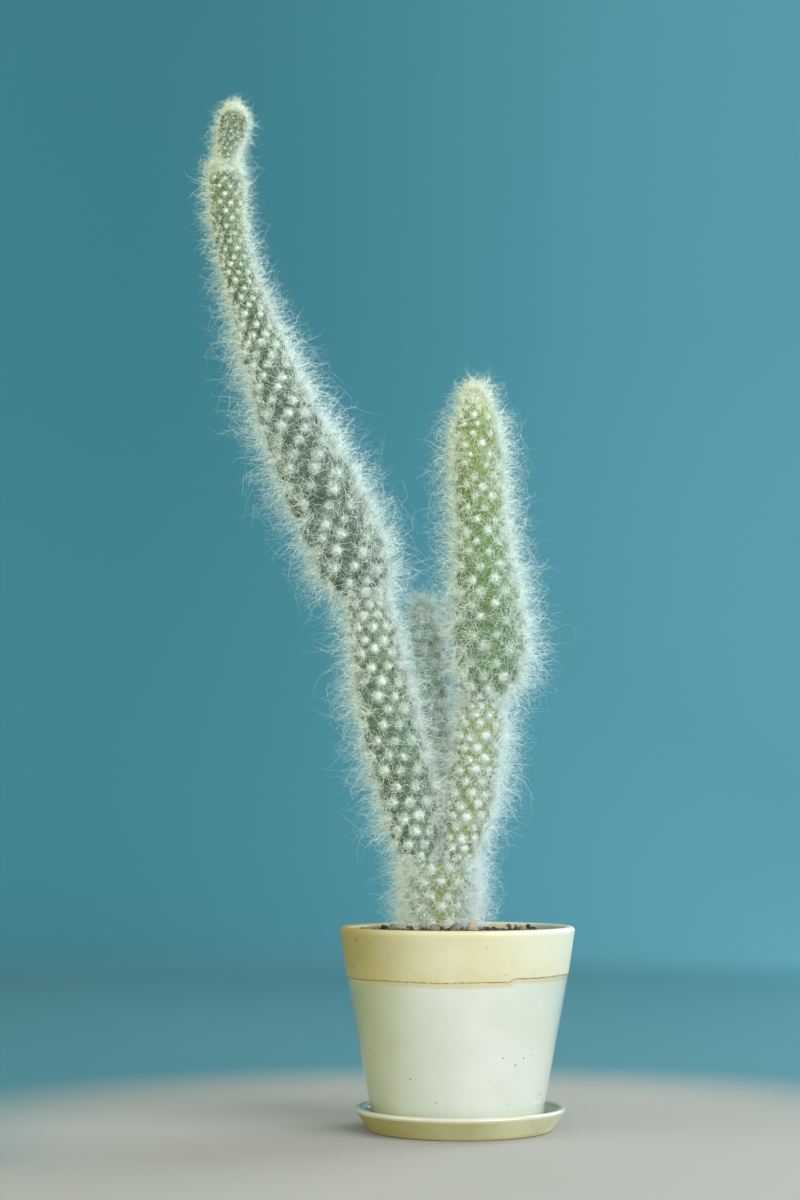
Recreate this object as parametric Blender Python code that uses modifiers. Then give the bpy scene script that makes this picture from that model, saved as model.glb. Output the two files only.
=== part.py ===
"""Potted grizzly bear cactus: a jointed plant of woolly pads in a glazed pot on a saucer.

Units are metres and +Z is up. The origin lies on the pot's axis, in the plane of the saucer's
underside, and the plant's two arms spread along X. A pad is a stem segment: each is a loft of
elliptical sections, with its areoles raised as three-sided tufts, half of which bear a spine.
"""

import math
import random
from typing import NamedTuple

import bmesh
import bpy
from mathutils import Vector

GAP = 0.0003  # left between pieces that touch
TURN_STEPS = 48  # sides of the turned pot and saucer

# Saucer
SAUCER_HEIGHT = 0.0108
SAUCER_LIP_RADIUS = 0.0492
SAUCER_FOOT_RADIUS = 0.0431
SAUCER_FLOOR = 0.0036
SAUCER_WALL = 0.0032
SAUCER_ROUND = 0.001
SAUCER_SHIFT = 0.0014  # the pot stands a little to the left of the saucer's middle

# Pot
POT_SEAT = SAUCER_FLOOR + GAP
POT_TOP = 0.0944
POT_WALL = 0.0045
POT_FLOOR = 0.0060
POT_ROUND = 0.0018
DRAIN_RADIUS = 0.0060
POT_OUTSIDE = ((0.0929, 0.0550), (0.0713, 0.0517), (0.0228, 0.0428), (0.0052, 0.0397))

# Soil
SOIL_SIDES = 40
SOIL_EDGE_DROP = 0.0038  # from the pot's top to the soil along the wall
SOIL_MOUND_DROP = 0.0016  # from the pot's top to the soil round the stem
SOIL_LUMP = 0.0016
SOIL_TOP_RINGS = 5
SOIL_SEED = 11

# Areoles and spines
TUFT_RADIUS = 0.0017
TUFT_SHARE = 0.55  # most of an areole's triangle that its tuft takes up
TUFT_HEIGHT = 0.0013
INSET = 0.0001  # makes a triangle's new corners, which are then put in place
SPINE_ROOT_RADIUS = 0.00034
SPINE_TILT = 0.22  # largest sideways lean, as a share of the length
SPINE_SPREAD = (0.75, 1.2)  # shortest and longest, as a share of the pad's usual length
SPINE_LEAST = 0.0035
SPINE_SEED = 5
REACH_STEPS = 8  # points along a spine that are kept clear of other pads
CLEAR_OF_NEIGHBOUR = 0.0008
CLEAR_OF_SOIL = 0.0040
ROW_SHARE = 0.83  # distance between rows, as a share of that between areoles in a row
ROW_LEAST = 0.0026
DOME_RINGS = 3
TIP_HALF_WIDTH = 0.0013  # a dome's narrowest section, when a distance to it is judged


class Section(NamedTuple):
    """One level cut through a pad: its height, its centre and its half-widths along X and Y."""

    z: float
    x: float
    y: float
    wide: float
    deep: float


class Pad(NamedTuple):
    """A stem segment, from its foot to its crown. A dome of 0 leaves the crown flat for a joint."""

    around: int
    dome: float
    spine: float
    sections: tuple


FOOT = 0.0820  # of the lowest pad, in the soil
CROWN = 0.1245  # of the lowest pad, which carries three others
LEFT_JOINT = 0.2476
LEFT_TIP_JOINT = 0.4573
RIGHT_JOINT = 0.1995

PADS = {
    "pad_base": Pad(
        around=11,
        dome=0,
        spine=0.0100,
        sections=(
            Section(FOOT, -0.0084, 0.0, 0.0132, 0.0108),
            Section(0.0949, -0.0084, 0.0, 0.0145, 0.0116),
            Section(0.1066, -0.0082, 0.0, 0.0148, 0.0121),
            Section(0.1170, -0.0083, 0.0, 0.0158, 0.0129),
            Section(CROWN, -0.0080, 0.0, 0.0153, 0.0127),
        ),
    ),
    "pad_left_lower": Pad(
        around=9,
        dome=0,
        spine=0.0125,
        sections=(
            Section(CROWN + GAP, -0.0155, -0.0040, 0.0076, 0.0070),
            Section(0.1325, -0.0192, -0.0042, 0.0102, 0.0082),
            Section(0.1533, -0.0225, -0.0032, 0.0126, 0.0093),
            Section(0.1721, -0.0274, -0.0020, 0.0129, 0.0097),
            Section(0.1910, -0.0319, -0.0008, 0.0127, 0.0095),
            Section(0.2286, -0.0389, 0.0, 0.0108, 0.0083),
            Section(LEFT_JOINT, -0.0418, 0.0, 0.0089, 0.0070),
        ),
    ),
    "pad_left_upper": Pad(
        around=8,
        dome=0,
        spine=0.0130,
        sections=(
            Section(LEFT_JOINT + GAP, -0.0418, 0.0, 0.0087, 0.0068),
            Section(0.2570, -0.0474, 0.0, 0.0151, 0.0084),
            Section(0.2660, -0.0493, 0.0, 0.0170, 0.0090),
            Section(0.2878, -0.0588, 0.0004, 0.0179, 0.0094),
            Section(0.3050, -0.0659, 0.0012, 0.0175, 0.0093),
            Section(0.3392, -0.0812, 0.0030, 0.0133, 0.0086),
            Section(0.3644, -0.0904, 0.0048, 0.0109, 0.0079),
            Section(0.3901, -0.0989, 0.0062, 0.0083, 0.0070),
            Section(0.4096, -0.1050, 0.0072, 0.0073, 0.0065),
            Section(0.4291, -0.1089, 0.0080, 0.0072, 0.0065),
            Section(0.4504, -0.1102, 0.0082, 0.0076, 0.0068),
            Section(LEFT_TIP_JOINT, -0.1100, 0.0082, 0.0047, 0.0045),
        ),
    ),
    "pad_left_tip": Pad(
        around=7,
        dome=0.0095,
        spine=0.0070,
        sections=(
            Section(LEFT_TIP_JOINT + GAP, -0.1100, 0.0082, 0.0044, 0.0042),
            Section(0.4644, -0.1090, 0.0082, 0.0048, 0.0047),
            Section(0.4741, -0.1069, 0.0082, 0.0067, 0.0062),
            Section(0.4846, -0.1060, 0.0082, 0.0070, 0.0064),
        ),
    ),
    "pad_middle": Pad(
        around=7,
        dome=0.0140,
        spine=0.0110,
        sections=(
            Section(CROWN + GAP, -0.0080, 0.0080, 0.0040, 0.0036),
            Section(0.1400, -0.0077, 0.0112, 0.0050, 0.0052),
            Section(0.1726, -0.0082, 0.0172, 0.0060, 0.0074),
            Section(0.2063, -0.0111, 0.0215, 0.0071, 0.0084),
            Section(0.2488, -0.0155, 0.0245, 0.0073, 0.0072),
        ),
    ),
    "pad_right_lower": Pad(
        around=8,
        dome=0,
        spine=0.0125,
        sections=(
            Section(CROWN + GAP, -0.0003, -0.0040, 0.0067, 0.0068),
            Section(0.1325, 0.0012, -0.0042, 0.0085, 0.0080),
            Section(0.1421, 0.0037, -0.0034, 0.0102, 0.0086),
            Section(0.1749, 0.0092, -0.0012, 0.0102, 0.0091),
            Section(0.1872, 0.0107, 0.0, 0.0105, 0.0088),
            Section(RIGHT_JOINT, 0.0119, 0.0, 0.0074, 0.0068),
        ),
    ),
    "pad_right_upper": Pad(
        around=8,
        dome=0.0200,
        spine=0.0130,
        sections=(
            Section(RIGHT_JOINT + GAP, 0.0119, 0.0, 0.0072, 0.0066),
            Section(0.2103, 0.0147, 0.0, 0.0136, 0.0085),
            Section(0.2282, 0.0154, 0.0, 0.0162, 0.0097),
            Section(0.2422, 0.0145, -0.0008, 0.0153, 0.0097),
            Section(0.2620, 0.0133, -0.0020, 0.0127, 0.0092),
            Section(0.2822, 0.0114, -0.0032, 0.0110, 0.0088),
            Section(0.3183, 0.0095, -0.0048, 0.0103, 0.0084),
            Section(0.3466, 0.0086, -0.0050, 0.0072, 0.0066),
        ),
    ),
}

# Colours are linear, then roughness
SKIN = {
    "pad_base": (0.26, 0.28, 0.12),
    "pad_left_lower": (0.17, 0.24, 0.10),
    "pad_left_upper": (0.11, 0.19, 0.10),
    "pad_left_tip": (0.23, 0.25, 0.09),
    "pad_middle": (0.16, 0.21, 0.14),
    "pad_right_lower": (0.21, 0.27, 0.09),
    "pad_right_upper": (0.20, 0.30, 0.06),
}
SKIN_ROUGHNESS = 0.6
WOOL = (0.78, 0.80, 0.72)
WOOL_ROUGHNESS = 0.9
GLAZE = (0.66, 0.68, 0.50)
GLAZE_ROUGHNESS = 0.25
SAUCER_GLAZE = (0.52, 0.51, 0.31)
SAUCER_ROUGHNESS = 0.35
EARTH = (0.045, 0.032, 0.024)
EARTH_ROUGHNESS = 0.95


def clear_scene():
    for thing in list(bpy.data.objects):
        bpy.data.objects.remove(thing, do_unlink=True)


def finish(name, colour, roughness):
    """A plain material of one colour."""
    material = bpy.data.materials.new(name)
    material.use_nodes = True
    material.diffuse_color = (*colour, 1)
    shader = material.node_tree.nodes["Principled BSDF"]
    shader.inputs["Base Color"].default_value = (*colour, 1)
    shader.inputs["Roughness"].default_value = roughness
    shader.inputs["Metallic"].default_value = 0.0
    return material


def place(name, bm, collection, materials):
    """Puts a finished mesh into the collection as an object of its own."""
    mesh = bpy.data.meshes.new(name)
    bm.to_mesh(mesh)
    bm.free()
    for material in materials:
        mesh.materials.append(material)
    thing = bpy.data.objects.new(name, mesh)
    collection.objects.link(thing)
    return thing


def turned(name, profile, closed, collection, material):
    """A body turned on the Z axis from (radius, height) points, down its outer side."""
    bm = bmesh.new()
    points = [bm.verts.new((radius, 0, height)) for radius, height in profile]
    for start, end in zip(points, points[1:]):
        bm.edges.new((start, end))
    if closed:
        bm.edges.new((points[-1], points[0]))
    thing = place(name, bm, collection, [material])
    screw = thing.modifiers.new("turn", "SCREW")
    screw.axis = "Z"
    screw.angle = math.tau
    screw.steps = TURN_STEPS
    screw.render_steps = TURN_STEPS
    screw.use_smooth_shade = True
    screw.use_merge_vertices = True
    screw.merge_threshold = 0.00001
    return thing


def rounding(radius, height, size, start, end, steps=2):
    """Points of an arc about (radius, height), between two angles in degrees from +X."""
    angles = [math.radians(start + (end - start) * i / steps) for i in range(steps + 1)]
    return [(radius + size * math.cos(a), height + size * math.sin(a)) for a in angles]


def make_saucer(collection):
    """A shallow dish: floor, flared wall with a rounded lip, and a flat underside."""
    inner_lip = SAUCER_LIP_RADIUS - SAUCER_WALL
    lip_height = SAUCER_HEIGHT - SAUCER_ROUND
    lip_inside = rounding(inner_lip + SAUCER_ROUND, lip_height, SAUCER_ROUND, 180, 90)
    lip_outside = rounding(SAUCER_LIP_RADIUS - SAUCER_ROUND, lip_height, SAUCER_ROUND, 90, 0)
    profile = [
        (0, SAUCER_FLOOR),
        (SAUCER_FOOT_RADIUS - SAUCER_ROUND, SAUCER_FLOOR),
        *lip_inside,
        *lip_outside,
        (SAUCER_FOOT_RADIUS, SAUCER_ROUND),
        (SAUCER_FOOT_RADIUS - SAUCER_ROUND, 0),
        (0, 0),
    ]
    glaze = finish("saucer_glaze", SAUCER_GLAZE, SAUCER_ROUGHNESS)
    saucer = turned("saucer", profile, False, collection, glaze)
    saucer.location.x = SAUCER_SHIFT
    return saucer


def pot_radius(height):
    """The pot's outside radius, straight between the measured heights."""
    for (above, wide), (below, narrow) in zip(POT_OUTSIDE, POT_OUTSIDE[1:]):
        if height >= below:
            return narrow + (wide - narrow) * (height - below) / (above - below)
    return POT_OUTSIDE[-1][1]


def make_pot(collection):
    """A tapered pot with a rounded rim and a drain hole through its floor."""
    floor = POT_SEAT + POT_FLOOR
    rim_height = POT_TOP - POT_ROUND
    rim_outside = rounding(POT_OUTSIDE[0][1] - POT_ROUND, rim_height, POT_ROUND, 90, 0)
    inner_rim = POT_OUTSIDE[0][1] - POT_WALL
    rim_inside = rounding(inner_rim + POT_ROUND, rim_height, POT_ROUND, 180, 90)
    foot_radius = POT_OUTSIDE[-1][1] - (POT_OUTSIDE[-1][0] - POT_SEAT)
    profile = [
        *rim_outside,
        *((radius, height) for height, radius in POT_OUTSIDE[1:]),
        (foot_radius, POT_SEAT),
        (DRAIN_RADIUS, POT_SEAT),
        (DRAIN_RADIUS, floor),
        (pot_radius(floor) - POT_WALL, floor),
        (pot_radius(POT_OUTSIDE[1][0]) - POT_WALL, POT_OUTSIDE[1][0]),
        *rim_inside,
    ]
    glaze = finish("pot_glaze", GLAZE, GLAZE_ROUGHNESS)
    return turned("pot", profile, True, collection, glaze)


def ball_grid(around, rings):
    """A UV sphere of unit size, and each vertex's ring and step, counted from its lower pole."""
    bm = bmesh.new()
    bmesh.ops.create_uvsphere(bm, u_segments=around, v_segments=rings + 1, radius=1)
    grid = {}
    for vert in bm.verts:
        ring = round((1 - math.acos(max(-1, min(1, vert.co.z))) / math.pi) * (rings + 1))
        step = round(math.atan2(vert.co.y, vert.co.x) / math.tau * around) % around
        grid[vert] = (ring, step)
    return bm, grid


def make_soil(collection):
    """Fills the pot: a flat underside, the wall, a lumpy top, and the hole for the stem.

    Rings run up from the middle of the underside, then inwards over the top, where the
    round wall passes smoothly into the stem's oval, and down into the hole.
    """
    draw = random.Random(SOIL_SEED)
    floor = POT_SEAT + POT_FLOOR + GAP
    edge = POT_TOP - SOIL_EDGE_DROP
    mound = POT_TOP - SOIL_MOUND_DROP
    stem = section_at(PADS["pad_base"], edge)
    foot = section_at(PADS["pad_base"], FOOT)
    last_top = 2 + SOIL_TOP_RINGS
    bm, grid = ball_grid(SOIL_SIDES, last_top + 1)
    for vert, (ring, step) in sorted(grid.items(), key=lambda entry: entry[1]):
        angle = math.tau * step / SOIL_SIDES
        if ring == 0:
            vert.co = (0, 0, floor)
        elif ring <= 2:
            height = floor if ring == 1 else edge
            radius = pot_radius(height) - POT_WALL - GAP * 2
            vert.co = (radius * math.cos(angle), radius * math.sin(angle), height)
        elif ring <= last_top:
            inwards = (ring - 2) / SOIL_TOP_RINGS
            radius = (pot_radius(edge) - POT_WALL - GAP * 2) * (1 - inwards)
            x = radius * math.cos(angle) + (stem.x + (stem.wide + GAP) * math.cos(angle)) * inwards
            y = radius * math.sin(angle) + (stem.y + (stem.deep + GAP) * math.sin(angle)) * inwards
            lump = 0 if ring == last_top else draw.uniform(-SOIL_LUMP, SOIL_LUMP)
            vert.co = (x, y, edge + (mound - edge) * inwards + lump)
        elif ring == last_top + 1:
            wide, deep = foot.wide + GAP * 2, foot.deep + GAP * 2
            vert.co = (foot.x + wide * math.cos(angle), foot.y + deep * math.sin(angle), FOOT - GAP)
        else:
            vert.co = (foot.x, foot.y, FOOT - GAP)
    return place("soil", bm, collection, [finish("soil", EARTH, EARTH_ROUGHNESS)])


def section_at(pad, z):
    """The pad's level section at a height: a cubic through its stations, closed by its dome."""
    stations = pad.sections
    z = min(max(z, stations[0].z), stations[-1].z)
    i = max(k for k in range(len(stations) - 1) if stations[k].z <= z or k == 0)
    low, high = stations[i], stations[i + 1]
    before = stations[max(i - 1, 0)]
    after = stations[min(i + 2, len(stations) - 1)]
    span = high.z - low.z
    t = (z - low.z) / span
    values = []
    for k in range(1, 5):
        start = (high[k] - before[k]) / (high.z - before.z) * span
        end = (after[k] - low[k]) / (after.z - low.z) * span
        values.append(
            (2 * t**3 - 3 * t**2 + 1) * low[k]
            + (t**3 - 2 * t**2 + t) * start
            + (3 * t**2 - 2 * t**3) * high[k]
            + (t**3 - t**2) * end
        )
    x, y, wide, deep = values
    if pad.dome and z > stations[-1].z - pad.dome:
        rise = 1 - (stations[-1].z - z) / pad.dome
        close = math.sqrt(max(0, 1 - rise * rise))
        wide, deep = wide * close, deep * close
    return Section(z, x, y, wide, deep)


def ring_heights(pad):
    """Heights of a pad's rings. They lie closer together where the pad is slim."""
    foot = pad.sections[0].z
    shoulder = pad.sections[-1].z - pad.dome
    heights = [foot]
    while heights[-1] < shoulder:
        section = section_at(pad, heights[-1])
        girth = math.tau * math.sqrt((section.wide**2 + section.deep**2) / 2)
        heights.append(heights[-1] + max(ROW_LEAST, ROW_SHARE * girth / pad.around))
    stretch = (shoulder - foot) / (heights[-1] - foot)
    heights = [foot + (z - foot) * stretch for z in heights]
    if pad.dome:
        turns = [math.pi / 2 * k / (DOME_RINGS + 1) for k in range(1, DOME_RINGS + 1)]
        heights += [shoulder + pad.dome * math.sin(turn) for turn in turns]
    return heights


def outside(pad, point):
    """About how far a point lies outside a pad's skin. It is negative inside."""
    section = section_at(pad, point.z)
    across = math.hypot(point.x - section.x, point.y - section.y)
    wide, deep = max(section.wide, TIP_HALF_WIDTH), max(section.deep, TIP_HALF_WIDTH)
    share = math.hypot((point.x - section.x) / wide, (point.y - section.y) / deep)
    level = across * (1 - 1 / share) if share > 0 else -min(wide, deep)
    beyond = abs(point.z - section.z)
    if beyond == 0:
        return level
    return math.hypot(max(level, 0), beyond)


def is_clear(name, point):
    """Whether a point stays nearer to its own pad than to any other."""
    own = max(outside(PADS[name], point), 0)
    others = (outside(pad, point) for other, pad in PADS.items() if other != name)
    return min(others) > own + CLEAR_OF_NEIGHBOUR


def free_length(name, root, way, longest):
    """How far a spine can reach from its root before it nears another pad."""
    for step in range(1, REACH_STEPS + 1):
        if not is_clear(name, root + way * (longest * step / REACH_STEPS)):
            return longest * (step - 1) / REACH_STEPS
    return longest


def shape_areole(face, centre, radius, rise):
    """Moves a triangle's corners onto a small circle above the centre of its areole."""
    for vert in face.verts:
        vert.co = centre + (vert.co - centre).normalized() * radius + rise


def make_pad(name, collection, wool):
    """Lofts one pad and raises its areoles.

    A UV sphere's rings are moved to the pad's level sections, each turned half a step from
    the one below, so that its triangles form a diamond lattice. Each triangle that points up
    is an areole: it is inset to a small triangle and drawn up to a tuft. Every second one is
    inset again at the tuft's top and drawn out to a spine.
    """
    pad = PADS[name]
    draw = random.Random(f"{name}{SPINE_SEED}")
    heights = ring_heights(pad)
    bm, grid = ball_grid(pad.around, len(heights))
    for vert, (ring, step) in grid.items():
        if ring == 0 or ring == len(heights) + 1:
            end = pad.sections[0 if ring == 0 else -1]
            vert.co = (end.x, end.y, end.z)
            continue
        section = section_at(pad, heights[ring - 1])
        angle = math.tau * (step + ring / 2) / pad.around
        x = section.x + section.wide * math.cos(angle)
        y = section.y + section.deep * math.sin(angle)
        vert.co = (x, y, section.z)
    bmesh.ops.triangulate(bm, faces=bm.faces[:], quad_method="SHORT_EDGE")
    bm.normal_update()

    areoles = []
    for face in bm.faces:
        rings = sorted(grid[vert][0] for vert in face.verts)
        steps = sum(grid[vert][1] for vert in face.verts)
        centre = face.calc_center_median()
        points_up = rings[0] == rings[1] and rings[0] > 0 and rings[2] > rings[1]
        on_crown = not pad.dome and rings[2] > len(heights)
        above_soil = centre.z > POT_TOP - SOIL_EDGE_DROP + CLEAR_OF_SOIL
        if points_up and not on_crown and above_soil:
            if is_clear(name, centre + face.normal * TUFT_HEIGHT):
                areoles.append((face, centre, face.normal.copy(), (rings[0] + steps) % 2))

    areoles.sort(key=lambda areole: tuple(areole[1]))
    for face, centre, normal, bears_spine in areoles:
        reach = min((vert.co - centre).length for vert in face.verts)
        radius = min(TUFT_RADIUS, reach * TUFT_SHARE)
        bmesh.ops.inset_individual(bm, faces=[face], thickness=INSET)
        shape_areole(face, centre, radius, normal * 0)
        face.material_index = 1
        tip = centre + normal * TUFT_HEIGHT
        if bears_spine:
            lean = Vector([draw.uniform(-SPINE_TILT, SPINE_TILT) for _ in range(3)])
            way = (normal + lean).normalized()
            length = free_length(name, tip, way, pad.spine * draw.uniform(*SPINE_SPREAD))
            if length >= SPINE_LEAST:
                bmesh.ops.inset_individual(bm, faces=[face], thickness=INSET)
                shape_areole(face, centre, SPINE_ROOT_RADIUS, normal * TUFT_HEIGHT)
                tip = tip + way * length
        for vert in bmesh.ops.poke(bm, faces=[face])["verts"]:
            vert.co = tip
            for tuft in vert.link_faces:
                tuft.material_index = 1

    skin = finish(f"{name}_skin", SKIN[name], SKIN_ROUGHNESS)
    return place(name, bm, collection, [skin, wool])


def main():
    clear_scene()
    collection = bpy.data.collections.new("potted_grizzly_bear_cactus")
    bpy.context.scene.collection.children.link(collection)
    make_saucer(collection)
    make_pot(collection)
    make_soil(collection)
    wool = finish("areole_wool", WOOL, WOOL_ROUGHNESS)
    for name in PADS:
        make_pad(name, collection, wool)


main()
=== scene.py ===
import math
from typing import NamedTuple

import bpy
import numpy as np
from bpy.props import FloatProperty, FloatVectorProperty, PointerProperty
from bpy.types import Operator, Panel, PropertyGroup
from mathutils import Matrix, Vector


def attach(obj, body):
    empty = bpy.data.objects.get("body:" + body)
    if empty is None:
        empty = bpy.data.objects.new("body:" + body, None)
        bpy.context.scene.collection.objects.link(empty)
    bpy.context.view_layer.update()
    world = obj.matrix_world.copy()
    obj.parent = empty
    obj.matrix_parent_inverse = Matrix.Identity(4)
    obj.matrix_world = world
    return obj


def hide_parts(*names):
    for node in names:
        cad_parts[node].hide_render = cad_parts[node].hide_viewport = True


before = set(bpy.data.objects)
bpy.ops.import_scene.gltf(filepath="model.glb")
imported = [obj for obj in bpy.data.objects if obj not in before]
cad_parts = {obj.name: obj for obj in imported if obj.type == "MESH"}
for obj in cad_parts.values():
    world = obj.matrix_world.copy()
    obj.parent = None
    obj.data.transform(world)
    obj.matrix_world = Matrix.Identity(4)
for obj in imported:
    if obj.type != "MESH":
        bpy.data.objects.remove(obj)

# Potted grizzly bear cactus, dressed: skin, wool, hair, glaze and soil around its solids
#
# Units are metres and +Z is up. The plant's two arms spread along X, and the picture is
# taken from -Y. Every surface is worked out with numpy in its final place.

bl_info = {
    "name": "Potted Grizzly Bear Cactus",
    "version": (1, 0, 0),
    "blender": (4, 5, 0),
    "location": "3D View > Sidebar > Cactus",
    "description": "Dresses a potted cactus with skin, wool, hair, glaze and soil",
    "category": "Add Mesh",
}

GAP = 0.0003  # left between neighbouring pieces
TURN_STEPS = 120  # columns of the turned pot and saucer
SHARP_ANGLE = math.radians(50)  # edges of turned ware that bend more than this stay sharp
BAKE_MAP = "OFBake"  # name of the map that every piece carries
NEAR_WOOL = "near_wool"  # name of the skin's measure of how near a tuft is

# Saucer
SAUCER_HEIGHT = 0.0108
SAUCER_LIP_RADIUS = 0.0492
SAUCER_FOOT_RADIUS = 0.0431
SAUCER_FLOOR = 0.0036
SAUCER_WALL = 0.0032
SAUCER_ROUND = 0.0010  # radius of the turn from its foot to its wall
SAUCER_BEAD = 0.0014  # radius of its rounded lip
SAUCER_SHIFT = 0.0014  # how far it stands off the pot's axis
SAUCER_POLE = 0.004  # radius where the rings of its underside start, and those of its floor end
SAUCER_UNEVEN = 0.0010  # swell of its radius, as a share of that radius

# Pot
POT_SEAT = SAUCER_FLOOR + GAP  # height of its underside
POT_TOP = 0.0944
POT_WALL = 0.0045
POT_FLOOR = 0.0060
POT_ROUND = 0.0018  # radius of its rounded rim
POT_UNEVEN = 0.0012  # swell of its radius, as a share of that radius
DRAIN_RADIUS = 0.0060
POT_MARKS = (  # x, height, half-length, half-width, lean in degrees and strength
    (-0.0220, 0.0271, 0.00040, 0.00035, 0, 1.0),
    (-0.0103, 0.0168, 0.00045, 0.00030, 0, 0.9),
    (0.0197, 0.0368, 0.00040, 0.00035, 0, 0.9),
    (0.0254, 0.0333, 0.00040, 0.00040, 0, 1.0),
    (0.0292, 0.0362, 0.00036, 0.00036, 0, 1.0),
    (0.0328, 0.0371, 0.00040, 0.00025, 30, 0.7),
    (0.0378, 0.0179, 0.00040, 0.00030, 0, 0.8),
    (0.0225, 0.0156, 0.00045, 0.00025, 10, 0.7),
    (-0.0409, 0.0387, 0.00035, 0.00045, 0, 0.6),
    (-0.0327, 0.0379, 0.00035, 0.00025, 0, 0.5),
    (-0.0436, 0.0534, 0.00040, 0.00040, 0, 0.5),
    (-0.0065, 0.0558, 0.00045, 0.00025, 40, 0.4),
    (0.0206, 0.0746, 0.00060, 0.00030, 0, 0.5),
    (-0.0338, 0.0751, 0.00045, 0.00025, 20, 0.6),
    (-0.0404, 0.0883, 0.00030, 0.00060, 0, 0.5),
    (-0.0468, 0.0895, 0.00170, 0.00022, -55, 0.8),
    (-0.0451, 0.0838, 0.00110, 0.00020, 80, 0.6),
    (-0.0479, 0.0770, 0.00100, 0.00025, 55, 0.8),
    (-0.0439, 0.0783, 0.00090, 0.00020, -70, 0.6),
    (-0.0318, 0.0830, 0.00220, 0.00020, 80, 0.25),
    (-0.0300, 0.0826, 0.00180, 0.00020, 100, 0.2),
)
POT_OUTSIDE = (  # height and radius, from its rim down to its foot
    (0.0929, 0.0550),
    (0.0713, 0.0517),
    (0.0228, 0.0428),
    (0.0052, 0.0397),
)

# Soil
SOIL_EDGE_DROP = 0.0038  # from the pot's top to the soil along the wall
SOIL_MOUND_DROP = 0.0016  # from the pot's top to the soil round the stem
SOIL_STEPS = 120  # columns of the soil's bed
SOIL_RINGS = 30  # rings of its top
SOIL_SINK = 0.0008  # how far the lumps' middle level lies below the soil's plain top
SOIL_LUMPS = ((0.012, 0.0005), (0.006, 0.0004), (0.003, 0.0003))  # wavelength and height
WAVES_PER_LUMP = 4  # waves of each size, each in a direction of its own
SOIL_SEED = 11
GRIT_SEED = 23
STONE_CLEAR = 0.0006  # between a stone and the pot's wall or the stem
GRIT = {  # number of stones, and the radii of the smallest and the largest
    "grit_fine": (520, 0.0006, 0.0016),
    "grit_coarse": (150, 0.0013, 0.0026),
}
BARK_PLACE = (0.0066, -0.0150, 0.0925)
BARK_SIZE = (0.0025, 0.0015, 0.0022)  # half of its length, of its width and of its thickness
BARK_TURN = 0.5  # radians round its own upright axis
BARK_RINGS = 9
BARK_STEPS = 24
BARK_SQUARE = 0.6  # exponent below 1, which squares it off
BARK_ARCH = 1.2  # how far its middle is arched up, as a share of half its thickness
BARK_RIDGE = 0.08  # height of its ridges, as the same share

# Stem segments
FOOT = 0.0820  # height of the lowest pad's foot, in the soil
CROWN = 0.1245  # height of its crown, where three pads grow from it
LEFT_JOINT = 0.2476  # height of the joint between the two long pads on the left
LEFT_TIP_JOINT = 0.4573  # height of the joint under the small pad at the top
RIGHT_JOINT = 0.1995  # height of the joint between the two pads on the right
ABOVE_ALL = 1.0  # a height above the whole plant
ROW_LEAST = 0.0026  # least height of a row of areoles
SCALE_STEPS = 900  # heights at which a pad's rows are added up
JOINT_ROUND = 0.0030  # how far from a joint a pad's rim curves in
JOINT_SHRINK = 0.14  # share of its width that a pad loses there
RINGS_PER_ROW = 4  # rings of the skin's grid to a row of areoles
STEPS_PER_AREOLE = 6  # columns of it to an areole
END_GAP = 0.02  # rows between a pad's end and the skin's nearest ring
DOME_GAP = 0.12  # the same at the top of a dome
MOUND_SHARE = 0.11  # about the highest that a mound may be, as a share of its row's height
SWELL_HEIGHT = 0.00015  # height of the skin's slow swells
SKIN_SINK = 0.0002  # how far the skin between the mounds lies below the pad's outline

# Areoles
HAIR_SEED = 7
FOOT_ROW = -0.42  # an extra row of areoles round the foot of a pad that grows from another
ROW_STRAY = 0.10  # how far an areole usually strays up or down, in rows
STEP_STRAY = 0.07  # how far it usually strays sideways, in steps of the lattice
PITCH_LEAST = 0.0030  # least distance between two areoles round a pad
USUAL_CELL = 0.000060  # area of skin round a usual areole, in square metres
USUAL_PITCH = 0.0075  # least distance between areoles whose hair has its full length
FACE_SHARE = 0.12  # how much long hair grows on the front and the back
SIDE_SHARE = 1.70  # how much more grows on the two sides
RIGHT_SHARE = 0.15  # how much more grows on the right than in the middle
JOINT_WOOL = 0.0070  # how far from a joint its hair is thicker
JOINT_SHARE = 0.95  # how much more hair grows at a joint
CAP_SHARE = 0.5  # how much more grows on a woolly cap
YOUNG_SHARE = 0.3  # how much more grows on young growth, and how much shorter it is
YOUNG_SHRINKS = 0.38  # share of its size that a tuft on the youngest growth lacks
TUFT_SHARE = 0.42  # a tuft's radius, as a share of the distance to the next less TUFT_GAP
TUFT_GAP = 0.0022
TUFT_LEAST = 0.0006  # least radius of a tuft, before its random size and its youth count
TUFT_RANGE = (0.78, 1.15)  # range of that random size
CLEAR_OF_SOIL = 0.0022  # least height of an areole above the soil's edge

# Tufts' domes and hair
DOME_COLUMNS = 7
DOME_LATITUDES = (-20, 35)  # degrees, one for each ring of a dome
DOME_WIDTH = 1.1  # a dome's radius, as a share of the tuft's
DOME_HEIGHT = 0.32  # its height, as a share of its own radius
DOME_POLES = (-0.30, 0.28)  # heights of a dome's poles, as shares of the tuft's radius
DOME_ROUGH = (0.62, 1.32)  # range of the random size of a dome's points
ROOT_DEPTH = 0.0003  # how far a hair's root lies in the skin
SKIN_CLEAR = 0.0004  # how far above the skin hair is kept
HAIR_LEAST = 0.0012  # shorter hairs are left out
HAIR_STRIP = 0.004  # width of a hair's face in the map


class Section(NamedTuple):
    """One level cut through a pad: its height, its centre and its half-widths along X and Y."""

    z: float
    x: float
    y: float
    wide: float
    deep: float


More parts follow.
